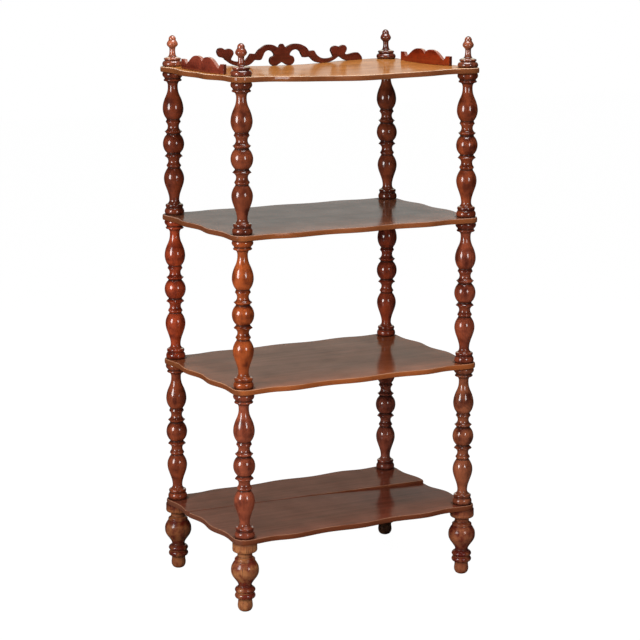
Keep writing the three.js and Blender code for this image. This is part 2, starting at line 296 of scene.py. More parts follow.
@dataclass(frozen=True)
class Mahogany:
    """Mahogany under old French polish.

    Broad bands and finer ribbons follow the grain, clouds of thicker and thinner polish lie over
    them, and short dark pores are drawn out along the fibres. Hollows are darkened, partly as grime
    and partly as painted shade, and sharp crests are rubbed bright.

    A share says how much of a colour is mixed in, a swing how far noise moves a value, a matt how
    much rougher the wood gets and a relief how far it stands out. A range is where a step starts
    and where it ends.
    """

    name: str
    colour: Colour
    grain: Grain
    on_blank: bool = True
    deep_share: Colour = (0.35, 0.25, 0.25)
    bright_share: Colour = (1.65, 1.95, 1.9)
    # Pores take this colour, and so do hollows, which are darkened partly by grime and partly as
    # painted shade.
    grime_and_shade_colour: Colour = (0.030, 0.013, 0.009)
    worn: Colour = (0.42, 0.17, 0.07)
    roughness: float = 0.5
    gloss_level: float = 0.1
    polish: float = 1.0
    polish_roughness: float = 0.13
    polish_ior: float = 1.65
    band_scale: float = 55.0
    cloud_scale: float = 40.0
    pore_scale: float = 900.0
    band_swing: float = 1.4
    cloud_swing: float = 1.9
    pore_share: float = 0.35
    grime_and_shade_share: float = 0.8
    worn_share: float = 0.3
    relief_strength: float = 0.12
    relief_depth: float = 0.3 * MM
    band_detail: float = 5.0
    band_roughness: float = 0.6
    cloud_detail: float = 3.0
    pore_detail: float = 2.0
    pore_range: Pair = (0.57, 0.7)
    tone_range: Pair = (-0.15, 1.15)
    grime_and_shade_range: Pair = (0.05, 0.65)
    grime_and_shade_swing: float = 0.4
    rubbed_range: Pair = (0.2, 0.8)
    rubbed_swing: float = 0.6
    rubbed_bare: float = 0.5
    cloud_matt: float = 0.25
    pore_matt: float = 0.15
    grime_and_shade_matt: float = 0.25
    smoothest: float = 0.05
    roughest: float = 0.95
    thin_polish: float = 0.75
    polish_swing: float = 0.5
    grime_and_shade_on_polish: float = 0.75
    band_relief: float = 0.15
    cloud_relief: float = 0.8
    pore_relief: float = 0.03
    grime_and_shade_relief: float = 0.5

    def material(self) -> bpy.types.Material:
        """Builds the finish.

        Returns:
            The material, ready for a mesh.
        """
        made = bpy.data.materials.new(self.name)
        made.use_nodes = True
        shading = Shading(made.node_tree)
        place = self.place(shading)
        fibres = shading.stretched(place, self.grain.value)
        bands = shading.noise(fibres, self.band_scale, self.band_detail, self.band_roughness)
        clouds = shading.noise(place, self.cloud_scale, self.cloud_detail)
        pores = shading.noise(fibres, self.pore_scale, self.pore_detail).rise(*self.pore_range)
        # The mesh's brightness lifts or lowers the wood: on turned pieces it is partly the wood's
        # own variation and partly painted light and shade.
        level = (
            NOISE_MIDDLE + (bands - NOISE_MIDDLE) * self.band_swing
            + (clouds - NOISE_MIDDLE) * self.cloud_swing + self.tone_and_light(shading)
        )
        deep, bright = (
            tuple(part * share for part, share in zip(self.colour, shares, strict=True))
            for shares in (self.deep_share, self.bright_share)
        )
        colour = shading.mix(deep, bright, level.rise(*self.tone_range))
        colour = self.edging(shading, colour)
        colour = shading.mix(colour, self.grime_and_shade_colour, pores * self.pore_share)
        # Hollows are darkened partly by grime and partly as painted shade; rubbed crests turn pale.
        grime_and_shade, rubbed = self.wear(shading, place, clouds)
        colour = shading.mix(colour, self.worn, rubbed * self.worn_share)
        colour = shading.mix(colour, self.grime_and_shade_colour, grime_and_shade * self.grime_and_shade_share)
        rough = (
            self.roughness + (clouds - NOISE_MIDDLE) * self.cloud_matt
            + pores * self.pore_matt + grime_and_shade * self.grime_and_shade_matt
        )
        coat = (
            self.polish * (1.0 - self.grime_and_shade_on_polish * grime_and_shade) * (1.0 - self.bare(shading, rubbed))
            * (self.thin_polish + self.polish_swing * clouds)
        )
        relief = (
            bands * self.band_relief + clouds * self.cloud_relief
            - pores * self.pore_relief - grime_and_shade * self.grime_and_shade_relief
        )
        bump = shading.node(
            "ShaderNodeBump", None,
            {"Strength": self.relief_strength, "Distance": self.relief_depth, "Height": relief},
        )
        shader = shading.node(
            "ShaderNodeBsdfPrincipled",
            None,
            {
                "Base Color": colour,
                "Roughness": rough.least(self.roughest).most(self.smoothest),
                "Specular IOR Level": self.gloss_level,
                "Coat Weight": coat.least(1.0).most(0.0),
                "Coat Roughness": self.polish_roughness,
                "Coat IOR": self.polish_ior,
                "Normal": bump,
            },
        )
        shading.node("ShaderNodeOutputMaterial", None, {"Surface": shader})
        return made

    def place(self, shading: Shading) -> Signal:
        """Where the pattern is read: in the piece's own blank or in the whole object.

        Args:
            shading: The tree that new nodes go into.

        Returns:
            The place.
        """
        if self.on_blank:
            return shading.attribute("blank", "Vector")
        return shading.node("ShaderNodeTexCoord", None, None, "Object")

    def tone_and_light(self, shading: Shading) -> object:
        """How much brighter than the whole the mesh paints the surface here, partly as painted
        light and shade.
        """
        return shading.attribute("tone_and_light", "Fac")

    def edging(self, shading: Shading, colour: Signal) -> Signal:
        """The colour where the surface is an edge, which turned pieces don't have."""
        return colour

    def bare(self, shading: Shading, rubbed: Signal) -> Signal:
        """How much of the polish is gone."""
        return rubbed * self.rubbed_bare

    def wear(self, shading: Shading, place: Signal, clouds: Signal) -> tuple[Signal, Signal]:
        """Where grime and painted shade darken the surface, and where hands have rubbed.

        Args:
            shading: The tree that new nodes go into.
            place: Where the pattern is read.
            clouds: Cloudy noise that breaks both up.

        Returns:
            The share darkened by grime and painted shade, and the rubbed share.
        """
        hollow = shading.attribute("hollow", "Fac")
        cloudy = clouds - NOISE_MIDDLE
        grime_and_shade = (hollow + cloudy * self.grime_and_shade_swing).rise(*self.grime_and_shade_range)
        rubbed = (0.0 - hollow + cloudy * self.rubbed_swing).rise(*self.rubbed_range)
        return grime_and_shade, rubbed


@dataclass(frozen=True)
class FootMahogany(Mahogany):
    """Foot mahogany: blotchy and dull, with coarse pores, where mops and shoes have scuffed it."""

    deep_share: Colour = (0.55, 0.25, 0.3)
    bright_share: Colour = (1.55, 2.1, 1.9)
    worn: Colour = (0.42, 0.21, 0.11)
    polish: float = 0.7
    polish_roughness: float = 0.2
    cloud_scale: float = 60.0
    pore_scale: float = 450.0
    cloud_swing: float = 2.6
    pore_share: float = 0.6
    grime_and_shade_share: float = 0.6


@dataclass(frozen=True)
class BoardMahogany(Mahogany):
    """Board mahogany: pale rubbed arrises, bright edges, dark ends, darker round each leg, painted
    shade under the edge.
    """

    on_blank: bool = False
    deep_share: Colour = (0.6, 0.55, 0.45)
    bright_share: Colour = (1.4, 1.45, 1.55)
    gloss_level: float = 0.0
    polish_roughness: float = 0.14
    polish_ior: float = 1.5
    band_scale: float = 60.0
    cloud_scale: float = 12.0
    band_swing: float = 0.9
    cloud_swing: float = 0.9
    worn_share: float = 0.85
    relief_strength: float = 0.08
    leg_x: float = LEG_X
    leg_y: float = LEG_Y
    leg_ring: float = 0.0265
    leg_ring_width: float = 0.004
    # How much darker the board is in a ring round each leg, and how much painted shade darkens the
    # underside of the edge.
    leg_ring_darkness: float = 0.7
    under_shade: float = 0.4
    edge: Colour = (0.26, 0.075, 0.018)
    end_grain: Colour = (0.16, 0.045, 0.015)
    end_range: Pair = (0.45, 0.85)
    edge_range: Pair = (0.9, 0.4)
    edge_share: float = 0.75
    edge_polish: float = 0.3
    arris_bare: float = 0.9
    arris_swing: Pair = (0.2, 0.5)
    face_range: Pair = (0.9, 0.99)
    arris_starts: Pair = (0.2, 0.45)
    arris_ends: Pair = (0.995, 0.9)
    under_starts: Pair = (-0.2, -0.7)
    under_ends: Pair = (-0.999, -0.9)

    def tone_and_light(self, shading: Shading) -> object:
        """All boards carry their tone in their colours."""
        return 0.0

    def edging(self, shading: Shading, colour: Signal) -> Signal:
        """The edge's own colour where the surface is upright, which is darker across the grain.

        Args:
            shading: The tree that new nodes go into.
            colour: The colour of both faces.

        Returns:
            The colour of the whole board.
        """
        across = abs(shading.normal()[0]).rise(*self.end_range)
        edge = shading.mix(self.edge, self.end_grain, across)
        return shading.mix(colour, edge, self.upright(shading) * self.edge_share)

    def upright(self, shading: Shading) -> Signal:
        """1 on the edge and 0 on both faces."""
        return abs(shading.normal()[2]).rise(*self.edge_range)

    def bare(self, shading: Shading, rubbed: Signal) -> Signal:
        """How much of the polish is gone: most along the arris, and to edge_polish on the edge."""
        edge_bare = 1.0 - self.edge_polish / self.polish
        return rubbed * self.arris_bare + self.upright(shading) * edge_bare

    def wear(self, shading: Shading, place: Signal, clouds: Signal) -> tuple[Signal, Signal]:
        """A darker ring round each leg, painted shade under the edge, and a rubbed line along the
        upper arris.

        Args:
            shading: The tree that new nodes go into.
            place: Where the pattern is read.
            clouds: Cloudy noise that breaks both up.

        Returns:
            The share darkened by the leg rings and by painted shade, and the rubbed share.
        """
        x, y, _ = shading.axes(place)
        off_x = abs(x) - self.leg_x
        off_y = abs(y) - self.leg_y
        beyond = (off_x * off_x + off_y * off_y) ** 0.5 - self.leg_ring
        up = shading.normal()[2]
        ring = beyond.rise(self.leg_ring_width, 0.0) * up.rise(*self.face_range)
        arris = up.rise(*self.arris_starts) * up.rise(*self.arris_ends)
        # Painted shade along the underside of the edge, where it faces down.
        under = up.rise(*self.under_starts) * up.rise(*self.under_ends)
        grime_and_shade = (ring * self.leg_ring_darkness).most(under * self.under_shade)
        return grime_and_shade, arris * clouds.rise(*self.arris_swing)


@dataclass(frozen=True)
class FretMahogany(Mahogany):
    """Fretwork mahogany, whose sawn edges carry a painted reflection on top and are darker
    elsewhere.
    """

    polish: float = 0.7
    polish_ior: float = 1.5
    cloud_swing: float = 0.9
    across: int = 0
    # The sawn edge's colour where it faces upwards: by default a pale painted reflection of the
    # light overhead.
    sawn: Colour = (0.40, 0.20, 0.15)
    sawn_share: float = 0.65
    sawn_range: Pair = (0.9, 0.4)
    sawn_bare: float = 0.5
    top_range: Pair = (0.05, 0.45)

    def sawn_edge(self, shading: Shading) -> Signal:
        """1 on the sawn edge and 0 on both faces, which look along the axis that across names."""
        return abs(shading.normal()[self.across]).rise(*self.sawn_range)

    def edging(self, shading: Shading, colour: Signal) -> Signal:
        """The sawn edge's colours: its upward colour, by default a painted reflection, and darker
        elsewhere.

        Args:
            shading: The tree that new nodes go into.
            colour: The colour of both faces.

        Returns:
            The colour of the whole gallery.
        """
        top = shading.normal()[2].rise(*self.top_range)
        edge = self.sawn_edge(shading) * self.sawn_share
        # Darker on the sawn faces that don't face upwards; on those that do, the upward colour, by
        # default a painted reflection.
        colour = shading.mix(colour, self.grime_and_shade_colour, edge * (1.0 - top))
        return shading.mix(colour, self.sawn, edge * top)

    def bare(self, shading: Shading, rubbed: Signal) -> Signal:
        """How much of the polish is gone, which is sawn_bare of it along the sawn edge."""
        return self.sawn_edge(shading) * self.sawn_bare


# Surfaces


def smooth_step(values: np.ndarray, start: float, full: float) -> np.ndarray:
    """A smooth step: 3 times the square less 2 times the cube of the share of the way.

    Args:
        values: Where it is read.
        start: The value up to which it is 0.
        full: The value from which it is 1.

    Returns:
        The step, from 0 to 1.
    """
    share = np.clip((values - start) / (full - start), 0.0, 1.0)
    return share * share * (3.0 - 2.0 * share)


def smooth_stretch(points: Stretch, steps: int) -> np.ndarray:
    """A smooth curve through the points, or the straight line if there are two.

    Between two points it is the cubic that leaves each with the slope of the parabola through
    that point and its neighbours. The parameter grows with the square root of the distance
    between points, which keeps the curve from swinging out.

    Args:
        points: The points that it passes through.
        steps: How many steps go from each point to the next.

    Returns:
        Points along the curve, both ends included.
    """
    held = np.asarray(points, float)
    if len(held) == 2:
        share = np.linspace(0.0, 1.0, steps + 1)[:, None]
        return held[0] + (held[1] - held[0]) * share
    gaps = np.linalg.norm(np.diff(held, axis=0), axis=1) ** 0.5
    knots = np.concatenate(([0.0], np.cumsum(gaps)))
    slope = np.gradient(held, knots, axis=0, edge_order=2)
    u = np.linspace(0.0, 1.0, steps, endpoint=False)[None, :, None]
    gap = gaps[:, None, None]
    curve = (
        (2 * u**3 - 3 * u**2 + 1) * held[:-1, None]
        + (u**3 - 2 * u**2 + u) * slope[:-1, None] * gap
        + (3 * u**2 - 2 * u**3) * held[1:, None]
        + (u**3 - u**2) * slope[1:, None] * gap
    )
    return np.vstack((curve.reshape(-1, 2), held[-1:]))


def joined(stretches: Sequence[Stretch], steps: int = 10) -> np.ndarray:
    """Stretches end to end as one line with a corner at each meeting point.

    Args:
        stretches: Each starts where the one before it ends.
        steps: How many steps go from each point to the next.

    Returns:
        The line's points.
    """
    curves = [smooth_stretch(stretch, steps)[:-1] for stretch in stretches]
    return np.vstack((*curves, np.asarray(stretches[-1][-1:], float)))


def evenly(line: np.ndarray, spacing: float, closed: bool = False) -> np.ndarray:
    """The same line with evenly spaced points.

    Args:
        line: Points along a line.
        spacing: The distance wanted between points.
        closed: Whether the line comes back to its first point.

    Returns:
        The new points, without the first one's repeat where the line is closed.
    """
    if closed:
        line = np.vstack((line, line[:1]))
    along = np.concatenate(([0.0], np.cumsum(np.linalg.norm(np.diff(line, axis=0), axis=1))))
    count = max(int(round(along[-1] / spacing)), 3)
    stops = np.linspace(0.0, along[-1], count + 1)
    placed = np.stack([np.interp(stops, along, values) for values in line.T], axis=1)
    return placed[:-1] if closed else placed


def shaped(
    name: str, points: np.ndarray | Sequence[Sequence[float]], faces: Sequence[Sequence[int]],
) -> bpy.types.Object:
    """An object with a new mesh, smooth shaded.

    Args:
        name: The object's name.
        points: The mesh's points.
        faces: The numbers of each face's points.

    Returns:
        The object, in the scene.
    """
    mesh = bpy.data.meshes.new(name)
    mesh.from_pydata(points, [], faces)
    mesh.shade_smooth()
    made = bpy.data.objects.new(name, mesh)
    bpy.context.scene.collection.objects.link(made)
    return made


def closed_shell(name: str, rings: np.ndarray, poles: np.ndarray) -> bpy.types.Object:
    """A closed surface of stacked rings with a point at each end.

    Each ring runs anticlockwise seen from above, and ring follows ring from the lower pole out
    and over to the upper pole, so all faces point outwards.

    Args:
        name: The object's name.
        rings: Ring by ring, point by point, as an array of rings, points and axes.
        poles: The lower and the upper pole.

    Returns:
        The object.
    """
    count, around, _ = rings.shape
    points = np.vstack((rings.reshape(-1, 3), poles))
    ring = np.arange(count - 1)[:, None] * around
    here = np.arange(around)[None, :]
    after = (here + 1) % around
    quads = np.stack(
        (ring + here, ring + after, ring + around + after, ring + around + here), axis=-1,
    )
    last = (count - 1) * around
    under = np.stack((np.full(around, count * around), after[0], here[0]), axis=-1)
    over = np.stack((np.full(around, count * around + 1), last + here[0], last + after[0]), axis=-1)
    return shaped(name, points, quads.reshape(-1, 4).tolist() + under.tolist() + over.tolist())


def mark(
    piece: bpy.types.Object,
    blank: np.ndarray,
    hollow: np.ndarray | None = None,
    tone_and_light: np.ndarray | None = None,
) -> None:
    """Stores what a finish reads at each point of a piece's mesh.

    Args:
        piece: The piece.
        blank: Each point's place in the blank that the piece was cut from.
        hollow: How deep each point lies in a groove, where it is darkened partly by grime and
            partly as painted shade, or nothing where there are none.
        tone_and_light: How much brighter than the whole each point is painted, partly as painted
            light and shade, or nothing where it is even.
    """
    plain = np.zeros(len(blank))
    carried = (
        ("blank", "FLOAT_VECTOR", "vector", blank),
        ("hollow", "FLOAT", "value", plain if hollow is None else hollow),
        ("tone_and_light", "FLOAT", "value", plain if tone_and_light is None else tone_and_light),
    )
    for name, kind, key, values in carried:
        attribute = piece.data.attributes.new(name, kind, "POINT")
        attribute.data.foreach_set(key, np.ascontiguousarray(values, np.float32).ravel())


def settle(piece: bpy.types.Object, node: str, slot: str, material: bpy.types.Material) -> None:
    """Dresses a piece and puts it in its node's stead.

    Args:
        piece: The finished piece.
        node: The node that it stands for.
        slot: The record's material slot.
        material: Its finish.
    """
    piece.data.materials.append(material)
    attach(piece, BODY)
    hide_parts(node)
    log.info("%s: %d points, slot %s", piece.name, len(piece.data.vertices), slot)


# Turned pieces


@dataclass(frozen=True)
class Drawing:
    """A turner's drawing: stretches of height and radius in millimetres, from the bottom up.

    Each pair in its brightness list is a height in millimetres and how much brighter the wood is
    painted there: partly its own variation and partly painted light and shade.
    """

    stretches: tuple[Stretch, ...]
    tones_and_light: Stretch
    spacing: float = 1.2 * MM
    smoothing: float = 3.0 * MM
    hollow_depth: float = 1.4 * MM
    # How much brighter wide parts, and how much darker narrow ones, are painted: painted light and
    # shade.
    bulge_light: float = 0.0
    bulge_share: float = 0.8

    @property
    def height(self) -> float:
        """The drawn height in metres."""
        return self.stretches[-1][-1][0] * MM

    def line(self) -> np.ndarray:
        """Evenly spaced points of height and radius, in metres."""
        return evenly(joined(self.stretches) * MM, self.spacing)

    def shade(self, line: np.ndarray) -> np.ndarray:
        """How much brighter than the whole each point is painted, by its bulge and its height.

        The wider the piece is above bulge_share of its widest radius, the brighter it is painted,
        and
        the narrower, the darker: painted light and shade. By height it is partly the wood's own
        variation and partly painted light and shade.

        Args:
            line: Points of height and radius.

        Returns:
            The brightness of each point.
        """
        bulge = self.bulge_light * (line[:, 1] / line[:, 1].max() - self.bulge_share)
        heights, tones_and_light = np.array(self.tones_and_light, float).T
        return bulge + np.interp(line[:, 0], heights * MM, tones_and_light)

    def hollows(self, line: np.ndarray) -> np.ndarray:
        """How deep each point lies in a groove, or below 0 how far it stands out on a crest.

        The line is blurred along its length by a bell curve, cut off three widths from its
        middle. The distance from each point to its blurred place, measured along the outward
        normal, is its depth.

        Args:
            line: Points of height and radius.

        Returns:
            The depth as a share of the deepest groove.
        """
        reach = int(3 * self.smoothing / self.spacing)
        offsets = np.arange(-reach, reach + 1) * self.spacing
        bell = np.exp(-0.5 * (offsets / self.smoothing) ** 2)
        bell /= bell.sum()
        padded = np.pad(line, ((reach, reach), (0, 0)), mode="edge")
        blurred = np.stack([np.convolve(values, bell, mode="valid") for values in padded.T], axis=1)
        slope = np.gradient(line, axis=0)
        normal = np.stack((-slope[:, 1], slope[:, 0]), axis=1)
        normal /= np.linalg.norm(normal, axis=1, keepdims=True)
        depth = np.sum((blurred - line) * normal, axis=1) / self.hollow_depth
        return np.clip(depth, -1.0, 1.0)


def ball(
    middle: float, radius: float, half_height: float, reach: float, count: int = 9,
) -> Stretch:
    """An oval bulge: radius times the root of 1 less the squared share of its half height.

    Args:
        middle: The height of its middle.
        radius: Its widest radius.
        half_height: Half of the whole oval's height.
        reach: How far it goes above and below its middle.
        count: How many points it is given by.

    Returns:
        Its points from the bottom up.
    """
    offsets = np.linspace(-reach, reach, count)
    radii = radius * np.sqrt(1.0 - (offsets / half_height) ** 2)
    return tuple(zip((middle + offsets).tolist(), radii.tolist(), strict=True))


BALL = ball(middle=175.5, radius=26.3, half_height=29.5, reach=23.0)
POST_STRETCHES: tuple[Stretch, ...] = (
    ((0, 21.5), (2.5, 23.4), (7, 24.2), (12, 23.3), (16.5, 20)),
    ((16.5, 20), (19, 21.4), (22, 21.9), (24.5, 21.2), (25.8, 19)),
    ((25.8, 19), (27.5, 16), (31.5, 13.2), (36, 12.4), (45.5, 13.3), (56.5, 16.3), (67, 20),
     (78, 23.5), (89, 25), (99.5, 23.6), (109, 19.6), (113, 17), (116, 15.2)),
    ((116, 15.2), (118.5, 16.6), (121, 18.4)),
    ((121, 18.4), (124, 17), (127, 15)),
    ((127, 15), (130, 14.1), (133, 13.8), (137, 14.5), (141, 17.2), (144.4, 22.4)),
    ((144.4, 22.4), (147, 20.4), (150.5, 17)),
    ((150.5, 17), BALL[0]),
    BALL,
    (BALL[-1], (200.5, 17.2)),
    ((200.5, 17.2), (203.2, 19.4), (205.6, 21.8)),
    ((205.6, 21.8), (208, 18.4), (211, 15.6), (215, 14.1), (219, 13.8), (223, 14.8), (225.5, 16.2)),
    ((225.5, 16.2), (228.5, 18.7)),
    ((228.5, 18.7), (231.5, 17.6), (235, 15.9)),
    ((235, 15.9), (243, 21.2), (249, 23.6), (256, 25.2), (263, 25.5), (272, 24.4), (279, 22.5),
     (286, 20), (295, 16), (302, 13.7), (309, 12.5), (315, 12.2), (320, 12.5), (325, 14.4),
     (327.5, 17.5)),
    ((327.5, 17.5), (328.5, 21.2), (330.5, 22.5), (332.2, 21.6), (333.5, 19.8)),
    ((333.5, 19.8), (336.5, 20.8), (339.5, 23.6), (344, 25.3), (349, 24.2), (351, 22)),
)
# Brightness by height along a post: partly the wood's own variation and partly painted light and
# shade, brighter where highlights fall on the necks and darker on the tori beside the boards.
POST_TONES_AND_LIGHT: Stretch = (
    (0, -0.25), (4, -0.2), (8, 0), (14, -0.1), (21, -0.35), (26, 0.1), (32, 0.1), (44, 0.2),
    (50, 0.1), (57, 0.05), (66, 0.25), (74, 0.2), (80, 0.1), (104, 0.15), (112, 0.05),
    (116, -0.2), (120.6, 0.3), (122, -0.05), (127, -0.1), (131, 0.2), (136, 0.35), (143.6, 0.4),
    (145, -0.05), (150, -0.3), (153, -0.25), (157, 0.1), (164, 0.15), (172, 0), (182, 0.2),
    (191, 0), (200, -0.4), (205.2, 0.4), (207, -0.1), (212, -0.1), (216, 0.3), (223, 0.25),
    (228, 0.3), (230, -0.35), (234, -0.2), (237, 0), (246, 0.25), (254, 0.05), (276, -0.05),
    (284, -0.1), (290, 0.2), (302, 0.45), (308, 0.3), (314, 0.15), (322, 0.3), (327, 0.1),
    (332, 0), (340, 0), (346, -0.15), (351, -0.25),
)
POST = Drawing(POST_STRETCHES, POST_TONES_AND_LIGHT)

FOOT_STRETCHES: tuple[Stretch, ...] = (
    ((0, 7.5), (0.9, 10.2), (3.2, 13.9), (8, 16.9), (12, 18), (17, 18.2), (24, 17.3), (30, 17.2)),
    ((30, 17.2), (33, 19.8)),
    ((33, 19.8), (35, 23.3), (39.5, 25), (44, 23.4), (47, 20)),
    ((47, 20), (50, 23.5), (54, 24.9), (58.3, 22.8), (61, 18.5)),
    ((61, 18.5), (63, 16.8), (66, 16.3), (70, 17.6), (78, 22.9), (88, 29.9), (96, 33.1),
     (104, 33.7), (112, 32.8), (119, 29.7), (125, 26)),
    ((125, 26), (127, 24.5)),
    ((127, 24.5), (129.5, 24.8), (132.5, 24.2), (135, 21), (137, 18.6)),
    ((137, 18.6), (141, 18), (145, 18.2), (147, 19)),
    ((147, 19), (148.5, 25.2), (150.5, 28.6), (153.5, 30), (158, 30)),
    ((158, 30), (170, 30)),
)
# Brightness by height along a foot: partly the wood's own variation and partly painted shade,
# darker at the top of the drum under the board.
FOOT_TONES_AND_LIGHT: Stretch = (
    (0, 0.4), (28, 0.5), (32.5, 0.9), (34, -0.3), (45.5, -0.3), (47, 0.9), (48.5, -0.3),
    (60, -0.35), (64, -0.2), (84, 0), (104, 0), (118, -0.2), (126, -0.35), (128, 0), (133, -0.1),
    (137, 0.2), (145, 0.3), (156, 0.35), (159, -0.1), (168, -0.3),
)
FOOT = Drawing(FOOT_STRETCHES, FOOT_TONES_AND_LIGHT, bulge_light=0.7)

# The front left foot's drum is painted paler up to the board, as painted light, so its last two
# brightness pairs differ.
LIT_DRUM_FOOT = replace(FOOT, tones_and_light=(*FOOT_TONES_AND_LIGHT[:-2], (160, 0.35), (168, 0.15)))

FINIAL_STRETCHES: tuple[Stretch, ...] = (
    ((0, 22), (2.5, 24.2), (7, 25), (11, 23.4), (14, 19.5)),
    ((14, 19.5), (15.5, 18.2)),
    ((15.5, 18.2), (16.2, 20.4), (18, 20.9), (19.8, 20.6), (20.6, 19.8)),
    ((20.6, 19.8), (22.8, 12.2)),
    ((22.8, 12.2), (25, 9.6), (28, 8.3), (32, 7.5), (38, 7.1), (44, 7.4)),
    ((44, 7.4), (46, 8.8), (49.5, 12.3), (54, 13.8), (58, 12.5), (62.5, 9.6)),
    ((62.5, 9.6), (64, 8.7)),
    ((64, 8.7), (68, 8.7), (70.5, 7.5), (73, 5.3), (74.5, 2.6), (75, 0.6)),
)
# Brightness by height along a finial: partly the wood's own variation and partly a painted
# highlight on the knob.
FINIAL_TONES_AND_LIGHT: Stretch = (
    (0, -0.2), (13, -0.2), (16, -0.1), (30, 0), (42, 0), (48, 0.2), (75, 0.2),
)
FINIAL = Drawing(FINIAL_STRETCHES, FINIAL_TONES_AND_LIGHT, spacing=0.9 * MM)


@dataclass
class Turning:
    """One turned piece on a leg, made as by hand.

    Its rings sit a little higher or lower than drawn and its section is a little oval, as the
    turner's eye left them. Both follow sine waves of so many radians over its whole height. Its
    lean is how far its bottom and its top stand out of true along X.
    """

    node: str
    drawing: Drawing
    slot: str
    material: bpy.types.Material
    middle: Pair
    foot_level: float
    top_level: float
    seed: int
    lean: Pair = (0.0, 0.0)
    sides: int = 56
    drift: float = 0.7 * MM
    drift_waves: float = 7.0
    oval: float = 0.004
    oval_waves: float = 11.0
    seam_dark_reach: float = 3.0 * MM
    seam_darkness: float = 0.7
    blank_gap: float = 0.37

    def build(self) -> bpy.types.Object:
        """Turns the piece.

        Returns:
            The finished piece.
        """
        rng = np.random.default_rng(self.seed)
        line = self.drawing.line()
        hollow = self.drawing.hollows(line)
        share = line[:, 0] / self.drawing.height
        height = self.top_level - self.foot_level
        drift_phase, oval_phase, side_phase, _ = rng.uniform(0.0, 2.0 * math.pi, 4)
        swing = np.sin(math.pi * share) * np.sin(self.drift_waves * share + drift_phase)
        up = share * height + self.drift * swing
        thinner = self.oval * (1.0 + np.sin(self.oval_waves * share + oval_phase)) / 2.0
        radius = line[:, 1] * (1.0 - thinner)
        angle = np.linspace(0.0, 2.0 * math.pi, self.sides, endpoint=False)
        flat = 1.0 - self.oval * (1.0 + np.sin(2.0 * angle + side_phase)) / 2.0
        across = radius[:, None] * flat[None, :]
        local = np.stack((
            across * np.cos(angle),
            across * np.sin(angle),
            np.repeat(up[:, None], self.sides, axis=1),
        ), axis=-1)
        bottom_lean, top_lean = self.lean
        local[..., 0] += (bottom_lean + (top_lean - bottom_lean) * share)[:, None]
        poles = np.array([[bottom_lean, 0.0, 0.0], [top_lean, 0.0, height]])
        base = np.array([*self.middle, self.foot_level])
        piece = closed_shell(f"turned_{self.node}", local + base, poles + base)
        # Grooves and both ends, where the piece meets a board or the floor, are darkened: partly
        # grime and partly painted shade.
        ends = np.minimum(share, 1.0 - share) * height
        grime_and_shade = np.maximum(hollow, self.seam_darkness * np.exp(-ends / self.seam_dark_reach))
        offset = rng.uniform(-1.0, 1.0, 3) * self.blank_gap
        mark(
            piece,
            np.vstack((local.reshape(-1, 3), poles)) + offset,
            np.append(np.repeat(grime_and_shade, self.sides), (self.seam_darkness, self.seam_darkness)),
            np.append(np.repeat(self.drawing.shade(line), self.sides), (0.0, 0.0)),
        )
        settle(piece, self.node, self.slot, self.material)
        return piece


STAINS: dict[Corner, tuple[Colour, ...]] = {
    Corner.FRONT_LEFT: ((0.28, 0.078, 0.031), (0.228, 0.0437, 0.0197), (0.26, 0.044, 0.0092),
                        (0.153, 0.0285, 0.0105), (0.18, 0.034, 0.015)),
    Corner.FRONT_RIGHT: ((0.225, 0.051, 0.023), (0.218, 0.052, 0.0225), (0.209, 0.0375, 0.016),
                         (0.188, 0.0315, 0.010), (0.18, 0.043, 0.020)),
    Corner.BACK_LEFT: ((0.19, 0.046, 0.018), (0.192, 0.0335, 0.012), (0.25, 0.0305, 0.009),
                       (0.128, 0.0205, 0.0075), (0.29, 0.07, 0.033)),
    Corner.BACK_RIGHT: ((0.09, 0.028, 0.014), (0.19, 0.041, 0.023), (0.178, 0.0255, 0.0097),
                        (0.126, 0.0235, 0.009), (0.12, 0.024, 0.012)),
}
LEANS: dict[Corner, tuple[float, ...]] = {
    Corner.FRONT_LEFT: (0.0, 0.0, 0.0, 0.0, 0.0),
    Corner.FRONT_RIGHT: (0.0, 0.0, 0.0, 0.0, 0.0),
    Corner.BACK_LEFT: (0.0, 0.0, 2.2 * MM, 2.2 * MM, 2.6 * MM),
    Corner.BACK_RIGHT: (0.0, 0.0, 2.0 * MM, -4.8 * MM, -7.0 * MM),
}


